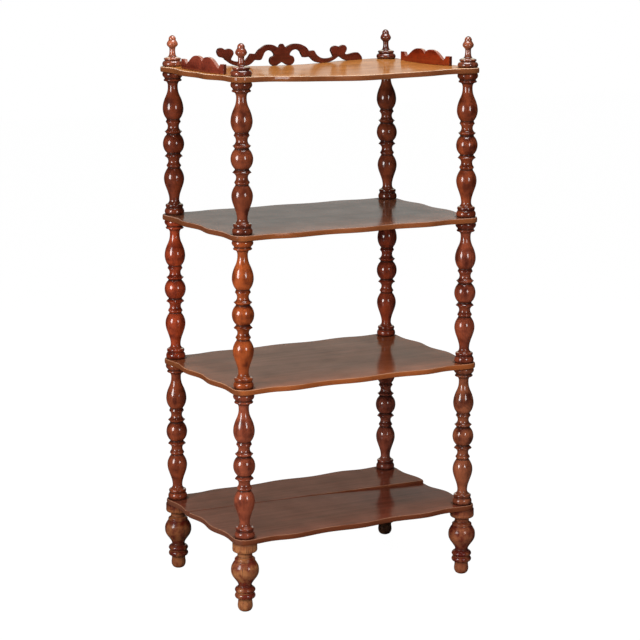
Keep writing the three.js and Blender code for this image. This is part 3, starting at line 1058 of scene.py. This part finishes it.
@dataclass
class Legs:
    """Four legs, each a foot, three posts and a finial.

    STAINS gives each leg's colours and LEANS how far out of true it stands along X: both go from
    the foot up, the colours piece by piece and the leans from board to board to the tip.
    """

    boards: tuple[str, ...] = ("bottom_front", "lower", "upper", "top")
    leg_seed: int = 100
    finial_drift: float = 0.3 * MM
    finial_polish_ior: float = 1.8

    def build(self) -> list[bpy.types.Object]:
        """Turns all twenty pieces.

        Returns:
            The pieces.
        """
        boxes = [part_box(f"board_{name}") for name in self.boards]
        levels = [(low.z, high.z) for low, high in boxes]
        return [
            piece
            for number, corner in enumerate(Corner)
            for piece in self.leg(corner, levels, self.leg_seed * (number + 1))
        ]

    def leg(self, corner: Corner, levels: Sequence[Pair], seed: int) -> list[bpy.types.Object]:
        """Turns one leg.

        Args:
            corner: Which leg it is.
            levels: The heights of each board's underside and upper face, from the bottom up.
            seed: The foot's seed, to which each piece above it adds one.

        Returns:
            The foot, the posts and the finial.
        """
        stains, leans = STAINS[corner], LEANS[corner]
        node = f"foot_{corner.value}"
        low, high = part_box(node)
        middle = ((low.x + high.x) / 2, (low.y + high.y) / 2)
        drawing = LIT_DRUM_FOOT if corner is Corner.FRONT_LEFT else FOOT
        finish = FootMahogany(f"polish_{node}", stains[0], Grain.UPRIGHT)
        pieces = [Turning(
            node, drawing, "foot_wood", finish.material(), middle, low.z, levels[0][0],
            seed, (leans[0], leans[0]),
        ).build()]
        for row, tier in enumerate(Tier):
            node = f"post_{tier.value}_{corner.value}"
            finish = Mahogany(f"polish_{node}", stains[row + 1], Grain.UPRIGHT)
            pieces.append(Turning(
                node, POST, "post_wood", finish.material(), middle, levels[row][1],
                levels[row + 1][0], seed + row + 1, (leans[row], leans[row + 1]),
            ).build())
        node = f"finial_{corner.value}"
        finish = Mahogany(
            f"polish_{node}", stains[-1], Grain.UPRIGHT, polish_ior=self.finial_polish_ior,
        )
        pieces.append(Turning(
            node, FINIAL, "finial_wood", finish.material(), middle, levels[-1][1],
            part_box(node)[1].z, seed + len(Tier) + 1, (leans[-2], leans[-1]),
            drift=self.finial_drift,
        ).build())
        return pieces


# Boards


@dataclass(frozen=True)
class Outline:
    """The waved outline that all the boards share.

    The overhang past the line of the legs swings like a cosine from one turning place to the
    next, and a quarter circle about each leg joins two edges.
    """

    half_x: float = LEG_X
    half_y: float = LEG_Y
    ear: float = 28 * MM
    crest: float = 31 * MM
    trough: float = 23 * MM
    long_turns: tuple[float, ...] = (0.0, 0.3, 0.6, 0.8, 1.0)
    short_turns: tuple[float, ...] = (0.0, 0.35, 0.69, 1.0)
    spacing: float = 3.4 * MM
    edge_points: int = 400
    bow_points: int = 40

    def edge(
        self,
        along: np.ndarray,
        half: float,
        turns: Sequence[float],
        overhangs: Sequence[float],
    ) -> np.ndarray:
        """The overhang along one edge.

        Args:
            along: Places along the edge, from its middle.
            half: Half of the distance between the legs.
            turns: Turning places as shares of that half.
            overhangs: The overhang at each turning place.

        Returns:
            The overhang at each place.
        """
        stage = np.interp(np.abs(along) / half, turns, np.arange(len(turns)))
        before = np.minimum(stage.astype(int), len(turns) - 2)
        swing = (1.0 - np.cos(math.pi * (stage - before))) / 2.0
        out = np.asarray(overhangs)
        return out[before] + (out[before + 1] - out[before]) * swing

    def loop(self) -> np.ndarray:
        """The whole outline, edge after edge, each with the bow that follows it.

        Returns:
            Evenly spaced points, anticlockwise seen from above.
        """
        crest, trough, ear = self.crest, self.trough, self.ear
        sides = (
            (self.half_x, self.half_y, self.long_turns, (crest, trough, crest, trough, ear)),
            (self.half_y, self.half_x, self.short_turns, (trough, crest, trough, ear)),
        )
        angle = np.linspace(-math.pi / 2, 0.0, self.bow_points)[1:-1]
        parts = []
        for quarter in range(4):
            reach, away, turns, overhangs = sides[quarter % 2]
            along = np.linspace(-reach, reach, self.edge_points)
            edge = np.stack((along, -away - self.edge(along, reach, turns, overhangs)), axis=1)
            bow = np.stack((reach + ear * np.cos(angle), -away + ear * np.sin(angle)), axis=1)
            turn = quarter * math.pi / 2
            spin = np.array([[math.cos(turn), math.sin(turn)], [-math.sin(turn), math.cos(turn)]])
            parts.append(np.vstack((edge, bow)) @ spin)
        return evenly(np.vstack(parts), self.spacing, closed=True)


@dataclass
class Board:
    """One thin board with eased arrises, or one side of a jointed board."""

    node: str
    finish: Mahogany
    loop: np.ndarray
    bend: Callable[[np.ndarray, np.ndarray], np.ndarray]
    upper_arris: float = 1.9 * MM
    lower_arris: float = 1.6 * MM
    belly: float = 0.5 * MM
    shoulder: float = 1.5 * MM
    arris_points: int = 6
    inner_rings: int = 22

    def section(self, thickness: float) -> np.ndarray:
        """The edge's section: inset and height from the underside round to the upper face.

        Each arris is a quarter circle, and the edge between them is slightly bellied.

        Args:
            thickness: The board's thickness.

        Returns:
            Points of inset and height.
        """
        turn = np.linspace(0.0, math.pi / 2, self.arris_points)
        share = np.linspace(0.0, 1.0, self.arris_points)[1:-1]
        low, high = self.lower_arris, self.upper_arris
        section = np.vstack((
            (low + self.shoulder, 0.0),
            np.stack((low - low * np.sin(turn), low - low * np.cos(turn)), axis=1),
            np.stack((
                -self.belly * np.sin(math.pi * share),
                low + (thickness - high - low) * share,
            ), axis=1),
            np.stack((
                high - high * np.cos(turn),
                thickness - high + high * np.sin(turn),
            ), axis=1),
            (high + self.shoulder, thickness),
        ))
        section[:, 0] += self.belly
        return section

    def build(self) -> bpy.types.Object:
        """Shapes the board of rings, from the middle of its underside out, up its edge and in.

        Returns:
            The finished piece.
        """
        low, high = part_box(self.node)
        section = self.section(high.z - low.z)
        ahead = np.roll(self.loop, -1, axis=0) - np.roll(self.loop, 1, axis=0)
        inward = np.stack((-ahead[:, 1], ahead[:, 0]), axis=1)
        inward /= np.linalg.norm(inward, axis=1, keepdims=True)
        rim = self.loop[None] + inward[None] * section[:, 0, None, None]
        middle = (self.loop.max(axis=0) + self.loop.min(axis=0)) / 2
        shares = np.linspace(0.0, 1.0, self.inner_rings + 1)[1:-1, None, None]
        under = middle + (rim[:1] - middle) * shares
        over = middle + (rim[-1:] - middle) * shares[::-1]
        flat = np.concatenate((under, rim, over))
        heights = np.concatenate((
            np.full(len(under), section[0, 1]),
            section[:, 1],
            np.full(len(over), section[-1, 1]),
        ))
        rise = self.bend(flat[..., 0], flat[..., 1])
        rings = np.concatenate((flat, (low.z + heights[:, None] + rise)[..., None]), axis=-1)
        lift = self.bend(middle[None, 0], middle[None, 1])[0]
        poles = np.array([[*middle, low.z + lift], [*middle, high.z + lift]])
        piece = closed_shell(f"waved_{self.node}", rings, poles)
        settle(piece, self.node, "board_wood", self.finish.material())
        return piece


def flat_board(x: np.ndarray, y: np.ndarray) -> np.ndarray:
    """A board that lies flat."""
    return np.zeros_like(x)


@dataclass(frozen=True)
class Sag:
    """How the top board has sunk under its own weight and years of load.

    Held at the legs, it sinks like a clamped beam: the drop is its middle drop times the square
    of 1 less the squared share of the way to the leg.
    """

    front: float = 6.0 * MM
    back: float = 9.5 * MM
    sides: float = 2.4 * MM
    reach_x: float = 0.280
    reach_y: float = 0.168
    half_depth: float = 0.2155

    def __call__(self, x: np.ndarray, y: np.ndarray) -> np.ndarray:
        """The rise at each place, below 0 where the board has sunk.

        Args:
            x: The places along the board.
            y: The places across it.

        Returns:
            The rise.
        """
        along = np.clip(1.0 - (x / self.reach_x) ** 2, 0.0, 1.0) ** 2
        across = np.clip(1.0 - (y / self.reach_y) ** 2, 0.0, 1.0) ** 2
        backness = np.clip(0.5 + 0.5 * y / self.half_depth, 0.0, 1.0)
        middle = self.front + (self.back - self.front) * backness
        return -(along * middle + (1.0 - along) * across * self.sides)


@dataclass(frozen=True)
class Joint:
    """The open joint of the bottom board: a straight line aslant across it, with a small gap.

    The front half has sunk along it. It has sunk most at the right end, less and less towards the
    left, and not at all along its front edge, where the legs hold it.
    """

    end_x: float = 0.341
    right_y: float = 38.5 * MM
    left_y: float = 67 * MM
    gap: float = 0.5 * MM
    drop: float = 7.5 * MM
    drop_start_x: float = -0.10
    drop_full_x: float = 0.36
    drop_start_y: float = -0.185
    corner: float = 4.4 * MM
    corner_room: float = 1.25
    corner_points: int = 7

    def line_y(self, x: np.ndarray | float) -> np.ndarray | float:
        """Where the joint runs at each place along the board."""
        return self.left_y + (self.right_y - self.left_y) * (x + self.end_x) / (2 * self.end_x)

    def side(self, loop: np.ndarray, back: bool, spacing: float) -> np.ndarray:
        """One side's outline: the loop on that side of the joint, closed along the joint.

        Args:
            loop: The whole board's outline.
            back: True for the back side.
            spacing: The distance between points along the joint.

        Returns:
            The side's outline, anticlockwise.
        """
        sign = 1.0 if back else -1.0
        over = sign * (loop[:, 1] - self.line_y(loop[:, 0])) - self.gap / 2
        inside = over > 0.0
        start = int(np.flatnonzero(inside & ~np.roll(inside, 1))[0])
        loop, over, inside = (np.roll(values, -start, axis=0) for values in (loop, over, inside))
        count = int(inside.sum())
        first = loop[-1] + (loop[0] - loop[-1]) * (-over[-1] / (over[0] - over[-1]))
        last = loop[count - 1] + (loop[count] - loop[count - 1]) * (
            over[count - 1] / (over[count - 1] - over[count])
        )
        leaving = self.eased(loop[count - 2], last, first)
        coming = self.eased(last, first, loop[1])
        held = loop[:count]
        clear = np.minimum(*(np.linalg.norm(held - end, axis=1) for end in (first, last)))
        line = evenly(np.stack((leaving[-1], coming[0])), spacing)[1:-1]
        return np.vstack((held[clear > self.corner_room * self.corner], leaving, line, coming))

    def eased(self, before: np.ndarray, corner: np.ndarray, after: np.ndarray) -> np.ndarray:
        """A corner rounded to a circle, which it leaves and joins at a tangent.

        The circle is wide enough that the rings of the board's edge don't fold over one another.

        Args:
            before: A point on the side that leads to the corner.
            corner: The corner.
            after: A point on the side that leads away from it.

        Returns:
            The points of the round, anticlockwise.
        """
        back, ahead = ((end - corner) / np.linalg.norm(end - corner) for end in (before, after))
        half = math.acos(float(back @ ahead)) / 2
        inward = (back + ahead) / np.linalg.norm(back + ahead)
        middle = corner + inward * self.corner / math.sin(half)
        arm = corner + back * self.corner / math.tan(half) - middle
        turn = np.linspace(0.0, math.pi - 2 * half, self.corner_points)
        cos, sin = np.cos(turn), np.sin(turn)
        return middle + np.stack((arm[0] * cos - arm[1] * sin, arm[0] * sin + arm[1] * cos), axis=1)

    def sunk(self, x: np.ndarray, y: np.ndarray) -> np.ndarray:
        """The front half's rise at each place, which is the drop times two shares.

        Along the board the share is a smooth step, and across it is the share of the way from
        the legs to the joint, to the power of the way that is still left over plus one.

        Args:
            x: The places along the board.
            y: The places across it.

        Returns:
            The rise, below 0 where the board has sunk.
        """
        along = smooth_step(x, self.drop_start_x, self.drop_full_x)
        depth = self.line_y(x) - self.drop_start_y
        across = np.clip((y - self.drop_start_y) / depth, 0.0, 1.0)
        return -self.drop * along * across ** (2.0 - across)


@dataclass(frozen=True)
class JointedMahogany(BoardMahogany):
    """Board mahogany with a dark band along the joint, in front of it, up to where the joint gapes:
    partly grime and partly painted shadow.
    """

    joint: Joint = Joint()
    joint_band_width: float = 8.0 * MM
    joint_band_share: float = 0.6
    beside_share: float = 1.5
    line_blur: float = 1.0 * MM
    joint_band_end: float = 0.03
    end_blur: float = 0.04
    joint_grime_and_shadow: float = 0.3

    def wear(self, shading: Shading, place: Signal, clouds: Signal) -> tuple[Signal, Signal]:
        """Adds the dark band of grime and painted shadow along the joint, where the arris isn't
        rubbed either.

        Args:
            shading: The tree that new nodes go into.
            place: Where the pattern is read.
            clouds: Cloudy noise that breaks both up.

        Returns:
            The share darkened by grime and painted shade, and the rubbed share.
        """
        grime_and_shade, rubbed = super().wear(shading, place, clouds)
        x, y, _ = shading.axes(place)
        level = self.joint.line_y(0.0)
        slope = self.joint.line_y(1.0) - level
        ahead = level + x * slope - y
        # A dark band just in front of the joint, up to where it gapes: partly grime and partly
        # painted shadow.
        closed = x.rise(self.joint_band_end + self.end_blur, self.joint_band_end - self.end_blur)
        faded = ahead.rise(self.joint_band_width, self.joint_band_share * self.joint_band_width)
        joint_band = ahead.rise(-self.line_blur, self.line_blur) * faded * closed
        beside = abs(ahead).rise(self.beside_share * self.joint_band_width, self.joint_band_width) * closed
        return grime_and_shade.most(joint_band * self.joint_grime_and_shadow), rubbed * (1.0 - beside)


@dataclass
class Boards:
    """Four boards to one outline, the bottom one in two halves."""

    outline: Outline = Outline()
    joint: Joint = Joint()
    sag: Sag = Sag()
    top: Mahogany = BoardMahogany(
        "polish_board_top", (0.44, 0.167, 0.040), Grain.ALONG_X, worn=(0.80, 0.55, 0.38),
        edge=(0.19, 0.048, 0.023), end_grain=(0.145, 0.032, 0.015), polish=0.50, edge_polish=0.6,
    )
    upper: Mahogany = BoardMahogany(
        "polish_board_upper", (0.25, 0.090, 0.046), Grain.ALONG_X, worn=(0.50, 0.29, 0.21),
        edge=(0.31, 0.088, 0.023), end_grain=(0.15, 0.040, 0.012), polish=0.50, edge_polish=0.15,
    )
    lower: Mahogany = BoardMahogany(
        "polish_board_lower", (0.305, 0.083, 0.032), Grain.ALONG_X, worn=(0.56, 0.28, 0.16),
        edge=(0.385, 0.105, 0.027), end_grain=(0.165, 0.050, 0.017), polish=0.41, edge_polish=0.15,
    )
    bottom: Mahogany = JointedMahogany(
        "polish_board_bottom", (0.185, 0.046, 0.024), Grain.ALONG_X, worn=(0.36, 0.17, 0.10),
        edge=(0.17, 0.047, 0.018), end_grain=(0.14, 0.053, 0.030), polish=0.29, edge_polish=0.1,
    )

    def build(self) -> list[bpy.types.Object]:
        """Shapes the five pieces.

        Returns:
            The pieces.
        """
        whole = self.outline.loop()
        front, back = (
            self.joint.side(whole, is_back, self.outline.spacing) for is_back in (False, True)
        )
        boards = (
            Board("board_bottom_front", self.bottom, front, self.joint.sunk),
            Board("board_bottom_back", self.bottom, back, flat_board),
            Board("board_lower", self.lower, whole, flat_board),
            Board("board_upper", self.upper, whole, flat_board),
            Board("board_top", self.top, whole, self.sag),
        )
        return [board.build() for board in boards]


# Galleries

SCROLL_CROWN: tuple[Stretch, ...] = (
    ((0, 55), (3.7, 54), (6.3, 51), (8.5, 47.5), (12, 45.4)),
    ((12, 45.4), (20, 50.3), (30, 53.2), (40, 53.6), (50, 52.4), (60, 48.6), (68, 44.3), (74, 38.2),
     (77, 33.5)),
    ((77, 33.5), (92, 33.5)),
    ((92, 33.5), (95, 29.3), (100, 22.1), (106, 16.9), (113, 13.4), (122, 11.4), (133, 11),
     (142, 12.3), (147, 15)),
    ((147, 15), (143, 23), (140, 30), (143, 37), (152, 40.8), (160, 39), (164.5, 36.3)),
    ((164.5, 36.3), (169, 39.2), (176, 41), (184, 37.8), (187, 31), (185.2, 24.5), (181, 19.2)),
)
SCROLL_LEAF: tuple[Stretch, ...] = (
    ((181, 19.2), (188, 16.2), (195, 17), (203, 18.5), (212, 19.2), (220, 18.3), (226, 13),
     (231, 6), (232, 0)),
    ((232, 0), (192, 0)),
    ((192, 0), (183, 1.6), (175, 5.5), (168, 10.5), (164, 12.9)),
)
SCROLL_STUB: tuple[Stretch, ...] = (
    ((181, 19.2), (176, 17.2), (172, 18)),
    ((172, 18), (169, 16.2), (166, 16.5)),
    ((166, 16.5), (164, 12.9)),
)
SCROLL_UNDERSIDE: tuple[Stretch, ...] = (
    ((164, 12.9), (158, 10), (150, 5.6), (140, 1.8), (126, 0)),
    ((126, 0), (114, 0)),
    ((114, 0), (98, 3.4), (90, 7.6), (84, 13), (80, 17), (75, 18)),
    ((75, 18), (64, 17.7), (60, 18.5), (57, 22.7)),
    ((57, 22.7), (55, 26), (50, 34.5), (44, 38), (38, 39), (30, 37), (24, 31.5), (22.5, 26.5),
     (26, 24.6)),
    ((26, 24.6), (33.5, 20), (35.5, 11), (31.5, 4), (25, 0.5), (21, 0)),
    ((21, 0), (14, 1.5), (8, 5), (0, 9.5)),
)
SIDE_CREST: tuple[Stretch, ...] = (
    ((0, 24.5), (5, 30.5), (14, 34.8), (31.6, 36.5), (50, 33.5), (68, 24.5), (80, 17), (87, 13)),
    ((87, 13), (93, 15), (99.5, 23)),
    ((99.5, 23), (117, 23)),
    ((117, 23), (117, 0)),
    ((117, 0), (0, 0)),
)


@dataclass(frozen=True)
class Tilt:
    """How the left half of the scroll gallery differs from the right one, in the drawing's sizes.

    It is a little shorter, and its scroll is tipped up about the outer end of its foot. The angle
    grows by a smooth step along the arch, from its crown to its outer end.
    """

    short_share: float = 0.975
    angle: float = 0.06
    pivot: float = 126.0
    start: float = 40.0
    full: float = 77.0

    def __call__(self, half: np.ndarray) -> np.ndarray:
        """Moves the half from where it is drawn to its true place.

        Args:
            half: Its points, drawn as if it were a right half.

        Returns:
            The same points in their true places.
        """
        angle = self.angle * smooth_step(half[:, 0], self.start, self.full)
        out, up = half[:, 0] - self.pivot, half[:, 1]
        return np.stack((
            (self.pivot + out * np.cos(angle) - up * np.sin(angle)) * self.short_share,
            np.maximum(up * np.cos(angle) + out * np.sin(angle), 0.0),
        ), axis=1)


def fret_loop(right: np.ndarray, left: np.ndarray, spacing: float) -> np.ndarray:
    """A fretter's outline from its two halves, both drawn clockwise from the top of the middle.

    Args:
        right: The right half's points.
        left: The left half's, drawn as if it were a right half.
        spacing: The distance between points.

    Returns:
        The outline in metres, anticlockwise seen from the front.
    """
    clockwise = right * MM
    mirrored = left[::-1] * MM * np.array([-1.0, 1.0])
    loop = np.vstack((clockwise[:-1], mirrored[:-1]))
    return evenly(loop, spacing, closed=True)[::-1]


@dataclass
class Gallery:
    """One fret-sawn gallery, upright on the top board, and the dowels under it."""

    side: Side
    loop: np.ndarray
    sag: Sag
    material: bpy.types.Material
    dowel_material: bpy.types.Material
    dowel_count: int
    arris: float = 0.9 * MM
    arris_steps: int = 2
    saw_angle: float = math.radians(40)
    dowel_sides: int = 24
    chamfer_share: float = 0.25

    def build(self) -> list[bpy.types.Object]:
        """Saws the gallery out and sinks it with the board under it.

        Returns:
            The gallery and its dowels.
        """
        node = f"gallery_{self.side.value}"
        low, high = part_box(node)
        count = len(self.loop)
        along, up = self.loop.T
        if self.side is Side.BACK:
            x = high.x - along.max() + along
            sheets = [np.stack((x, np.full(count, y), up), axis=1) for y in (low.y, high.y)]
        else:
            y = (low.y + high.y) / 2 + along
            sheets = [np.stack((np.full(count, x), y, up), axis=1) for x in (high.x, low.x)]
        points = np.vstack(sheets)
        points[:, 2] += low.z + self.sag(points[:, 0], points[:, 1])
        here = np.arange(count)
        after = (here + 1) % count
        walls = np.stack((here, here + count, after + count, after), axis=1)
        faces = [here.tolist(), (here[::-1] + count).tolist(), *walls.tolist()]
        piece = shaped(f"fretted_{node}", points, faces)
        mark(piece, points)
        eased = piece.modifiers.new("eased_arris", "BEVEL")
        eased.width = self.arris
        eased.segments = self.arris_steps
        eased.limit_method = "ANGLE"
        eased.angle_limit = self.saw_angle
        eased.harden_normals = True
        settle(piece, node, "gallery_wood", self.material)
        return [piece, *(self.dowel(number + 1) for number in range(self.dowel_count))]

    def dowel(self, number: int) -> bpy.types.Object:
        """One chamfered dowel, as low as the board has sunk there.

        Args:
            number: Which dowel of this gallery, from 1.

        Returns:
            The dowel.
        """
        node = f"dowel_{self.side.value}_{number}"
        low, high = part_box(node)
        middle = (low + high) / 2
        drop = float(self.sag(np.array(middle.x), np.array(middle.y)))
        bottom, top = low.z + drop, high.z + drop
        radius = (high.y - low.y) / 2
        chamfer = radius * self.chamfer_share
        levels = np.array([bottom, bottom + chamfer, top - chamfer, top])
        across = np.array([radius - chamfer, radius, radius, radius - chamfer])
        angle = np.linspace(0.0, 2.0 * math.pi, self.dowel_sides, endpoint=False)
        rings = np.stack((
            middle.x + across[:, None] * np.cos(angle),
            middle.y + across[:, None] * np.sin(angle),
            np.repeat(levels[:, None], self.dowel_sides, axis=1),
        ), axis=-1)
        poles = np.array([[middle.x, middle.y, bottom], [middle.x, middle.y, top]])
        piece = closed_shell(f"pin_{node}", rings, poles)
        mark(piece, np.vstack((rings.reshape(-1, 3), poles)))
        settle(piece, node, "dowel_wood", self.dowel_material)
        return piece


@dataclass
class Galleries:
    """The scroll gallery along the back and the two low side galleries."""

    sag: Sag = Sag()
    tilt: Tilt = Tilt()
    spacing: float = 1.6 * MM
    back_finish: Mahogany = FretMahogany(
        "polish_gallery_back", (0.094, 0.013, 0.006), Grain.ALONG_X, across=1,
        sawn=(0.03, 0.008, 0.005),
    )
    left_finish: Mahogany = FretMahogany(
        "polish_gallery_left", (0.215, 0.034, 0.018), Grain.ALONG_Y,
    )
    right_finish: Mahogany = FretMahogany(
        "polish_gallery_right", (0.215, 0.021, 0.0042), Grain.ALONG_Y,
    )
    dowel_finish: Mahogany = Mahogany(
        "bare_dowels", (0.52, 0.34, 0.17), Grain.UPRIGHT, deep_share=(0.8, 0.75, 0.7),
        bright_share=(1.2, 1.25, 1.3), roughness=0.7, polish=0.0,
    )

    def build(self) -> list[bpy.types.Object]:
        """Saws out all three.

        Returns:
            The galleries and their dowels.
        """
        back = self.back_finish.material()
        left, right = self.left_finish.material(), self.right_finish.material()
        dowels = self.dowel_finish.material()
        scroll = fret_loop(
            joined((*SCROLL_CROWN, *SCROLL_LEAF, *SCROLL_UNDERSIDE)),
            self.tilt(joined((*SCROLL_CROWN, *SCROLL_STUB, *SCROLL_UNDERSIDE))),
            self.spacing,
        )
        crest = fret_loop(joined(SIDE_CREST), joined(SIDE_CREST), self.spacing)
        return [
            *Gallery(Side.BACK, scroll, self.sag, back, dowels, dowel_count=4).build(),
            *Gallery(Side.LEFT, crest, self.sag, left, dowels, dowel_count=2).build(),
            *Gallery(Side.RIGHT, crest, self.sag, right, dowels, dowel_count=2).build(),
        ]


# Studio


@dataclass(frozen=True)
class Softbox:
    """An oval soft lamp: its turn from the camera's side in degrees, its sizes and its watts.

    Where it isn't reflected, it lights the wood but no polish mirrors it.
    """

    name: str
    turn: float
    width: float
    tall: float
    power: float
    reflected: bool = True


@dataclass
class Studio:
    """A white room with a pale floor.

    Two tall oval lamps stand beside the camera and one hangs overhead. Two more only fill in and
    leave no reflections.
    """

    camera_place: tuple[float, float, float] = (-2.3496, -4.3610, 1.6097)
    camera_yaw: float = 28.343
    camera_pitch: float = 10.981
    camera_roll: float = 0.0186
    lens: float = 114.08
    sensor: float = 36.0
    floor_half: float = 12.0
    floor_colour: Colour = (0.32, 0.32, 0.32)
    floor_mirrored: Colour = (0.04, 0.04, 0.04)
    floor_white_share: float = 0.88
    floor_white: float = 1.13
    ambient: float = 0.045
    mirror_front: float = 0.015
    mirror_back: float = 0.75
    mirror_glow: float = 2.2
    mirror_low: Colour = (0.97, 1.05, 1.03)
    mirror_middle: Colour = (0.74, 0.98, 0.88)
    mirror_high: Colour = (0.92, 0.90, 0.70)
    wall_side: Pair = (0.9, 0.97)
    wall_top: Pair = (0.5, 0.35)
    strip_bottom: Pair = (0.3, 0.42)
    strip_top: Pair = (0.75, 0.6)
    middle_range: Pair = (0.13, 0.20)
    high_range: Pair = (0.22, 0.27)
    lamps: tuple[Softbox, ...] = (
        Softbox("left", turn=48.0, width=1.3, tall=1.75, power=66.0),
        Softbox("right", turn=-31.0, width=0.74, tall=1.25, power=23.0),
        Softbox("front", turn=20.0, width=1.6, tall=1.6, power=47.0, reflected=False),
        Softbox("back", turn=175.0, width=1.6, tall=1.6, power=40.0, reflected=False),
    )
    lamp_distance: float = 3.4
    lamp_height: float = 1.5
    top_place: tuple[float, float, float] = (0.0, -0.3, 3.2)
    top_size: float = 1.6
    top_power: float = 54.0
    aim_height: float = 0.75
    sight: float = 60.0

    def build(self) -> None:
        """Sets up the floor, the world, the lamps and the camera."""
        self.floor()
        self.world()
        for box in self.lamps:
            turn = math.radians(self.camera_yaw + box.turn)
            place = Vector((-math.sin(turn), -math.cos(turn), 0.0)) * self.lamp_distance
            place.z = self.lamp_height
            lamp = self.lamp(
                f"soft_lamp_{box.name}", place, self.aim_height, box.power, box.width, box.tall,
            )
            lamp.visible_glossy = box.reflected
        self.lamp(
            "overhead_lamp", Vector(self.top_place), 0.0, self.top_power, self.top_size,
            self.top_size,
        )
        self.camera()

    def floor(self) -> None:
        """A pale floor that the camera sees as nearly white, with the object's shadow on it."""
        half = self.floor_half
        corners = [
            (-half, -half, 0.0), (half, -half, 0.0), (half, half, 0.0), (-half, half, 0.0),
        ]
        floor = shaped("floor", corners, [(0, 1, 2, 3)])
        made = bpy.data.materials.new("pale_floor")
        made.use_nodes = True
        shading = Shading(made.node_tree)
        plain, dark = (
            shading.node("ShaderNodeBsdfDiffuse", None, {"Color": (*colour, 1.0)})
            for colour in (self.floor_colour, self.floor_mirrored)
        )
        glow = {"Color": (*WHITE, 1.0), "Strength": self.floor_white}
        white = shading.node("ShaderNodeEmission", None, glow)
        seen, glossy = shading.rays("Is Camera Ray", "Is Glossy Ray")
        bare = shading.node("ShaderNodeMixShader", None, {0: glossy, 1: plain, 2: dark})
        share = seen * self.floor_white_share
        both = shading.node("ShaderNodeMixShader", None, {0: share, 1: bare, 2: white})
        shading.node("ShaderNodeOutputMaterial", None, {"Surface": both})
        floor.data.materials.append(made)

    def world(self) -> None:
        """A white background, plain light all round, and a pale far wall for reflections.

        Reflections see mirror_front nearly everywhere. Straight behind the object they see a wall
        of mirror_back, and over it a strip as bright as mirror_glow. The wall is neutral where it
        is seen low, a little green over that and warm where it is seen high.

        How far a ray goes straight behind is the cosine of its angle, seen from above, to the
        camera's own direction.
        """
        world = bpy.data.worlds.new("studio")
        world.use_nodes = True
        bpy.context.scene.world = world
        shading = Shading(world.node_tree)
        camera, glossy, through = shading.rays(
            "Is Camera Ray", "Is Glossy Ray", "Is Transmission Ray",
        )
        direction = shading.node("ShaderNodeTexCoord", None, None, "Generated")
        turn = math.radians(self.camera_yaw)
        ahead = (math.sin(turn), math.cos(turn), 0.0)
        facing = shading.node(
            "ShaderNodeVectorMath", {"operation": "DOT_PRODUCT"}, {0: direction, 1: ahead}, "Value",
        )
        _, _, up = shading.axes(direction)
        behind = (facing * (1.0 - up * up) ** -0.5).rise(*self.wall_side)
        strip = up.rise(*self.strip_bottom) * up.rise(*self.strip_top)
        wall = self.mirror_front + behind * (
            up.rise(*self.wall_top) * self.mirror_back + strip * self.mirror_glow
        )
        level = (
            self.ambient + camera.most(through) * (1.0 - self.ambient)
            + glossy * (wall - self.ambient)
        )
        tint = shading.mix(self.mirror_low, self.mirror_middle, up.rise(*self.middle_range))
        tint = shading.mix(tint, self.mirror_high, up.rise(*self.high_range))
        tint = shading.mix(WHITE, tint, glossy * behind)
        shader = shading.node("ShaderNodeBackground", None, {"Color": tint, "Strength": level})
        shading.node("ShaderNodeOutputWorld", None, {"Surface": shader})

    def lamp(
        self, name: str, place: Vector, aim_height: float, power: float, width: float, tall: float,
    ) -> bpy.types.Object:
        """A soft oval lamp that faces the upright line through the middle of the object.

        Args:
            name: The lamp's name.
            place: Where it stands.
            aim_height: How high up that line it is aimed.
            power: Its power in watts.
            width: Its width.
            tall: Its height.

        Returns:
            The lamp.
        """
        data = bpy.data.lights.new(name, "AREA")
        data.shape = "ELLIPSE"
        data.size, data.size_y = width, tall
        data.energy = power
        lamp = bpy.data.objects.new(name, data)
        lamp.location = place
        aim = Vector((0.0, 0.0, aim_height))
        lamp.rotation_euler = (aim - place).to_track_quat("-Z", "Y").to_euler()
        bpy.context.scene.collection.objects.link(lamp)
        return lamp

    def camera(self) -> None:
        """The camera where the photograph was taken from."""
        data = bpy.data.cameras.new("camera")
        data.lens = self.lens
        data.sensor_width = self.sensor
        data.clip_end = self.sight
        camera = bpy.data.objects.new("camera", data)
        camera.location = self.camera_place
        pitch = math.radians(self.camera_pitch)
        roll = math.radians(self.camera_roll)
        yaw = math.radians(self.camera_yaw)
        camera.rotation_euler = Euler((math.pi / 2 - pitch, roll, -yaw), "XYZ")
        bpy.context.scene.collection.objects.link(camera)
        bpy.context.scene.camera = camera


def main() -> None:
    """Builds the object and the room around it, and reports each piece."""
    logging.basicConfig(level=logging.INFO, format="%(name)s: %(message)s")
    bpy.context.scene.view_settings.view_transform = "Standard"
    for part in (Legs(), Boards(), Galleries()):
        made = part.build()
        log.info("%s: %d pieces", type(part).__name__, len(made))
    Studio().build()


if __name__ == "__main__":
    main()
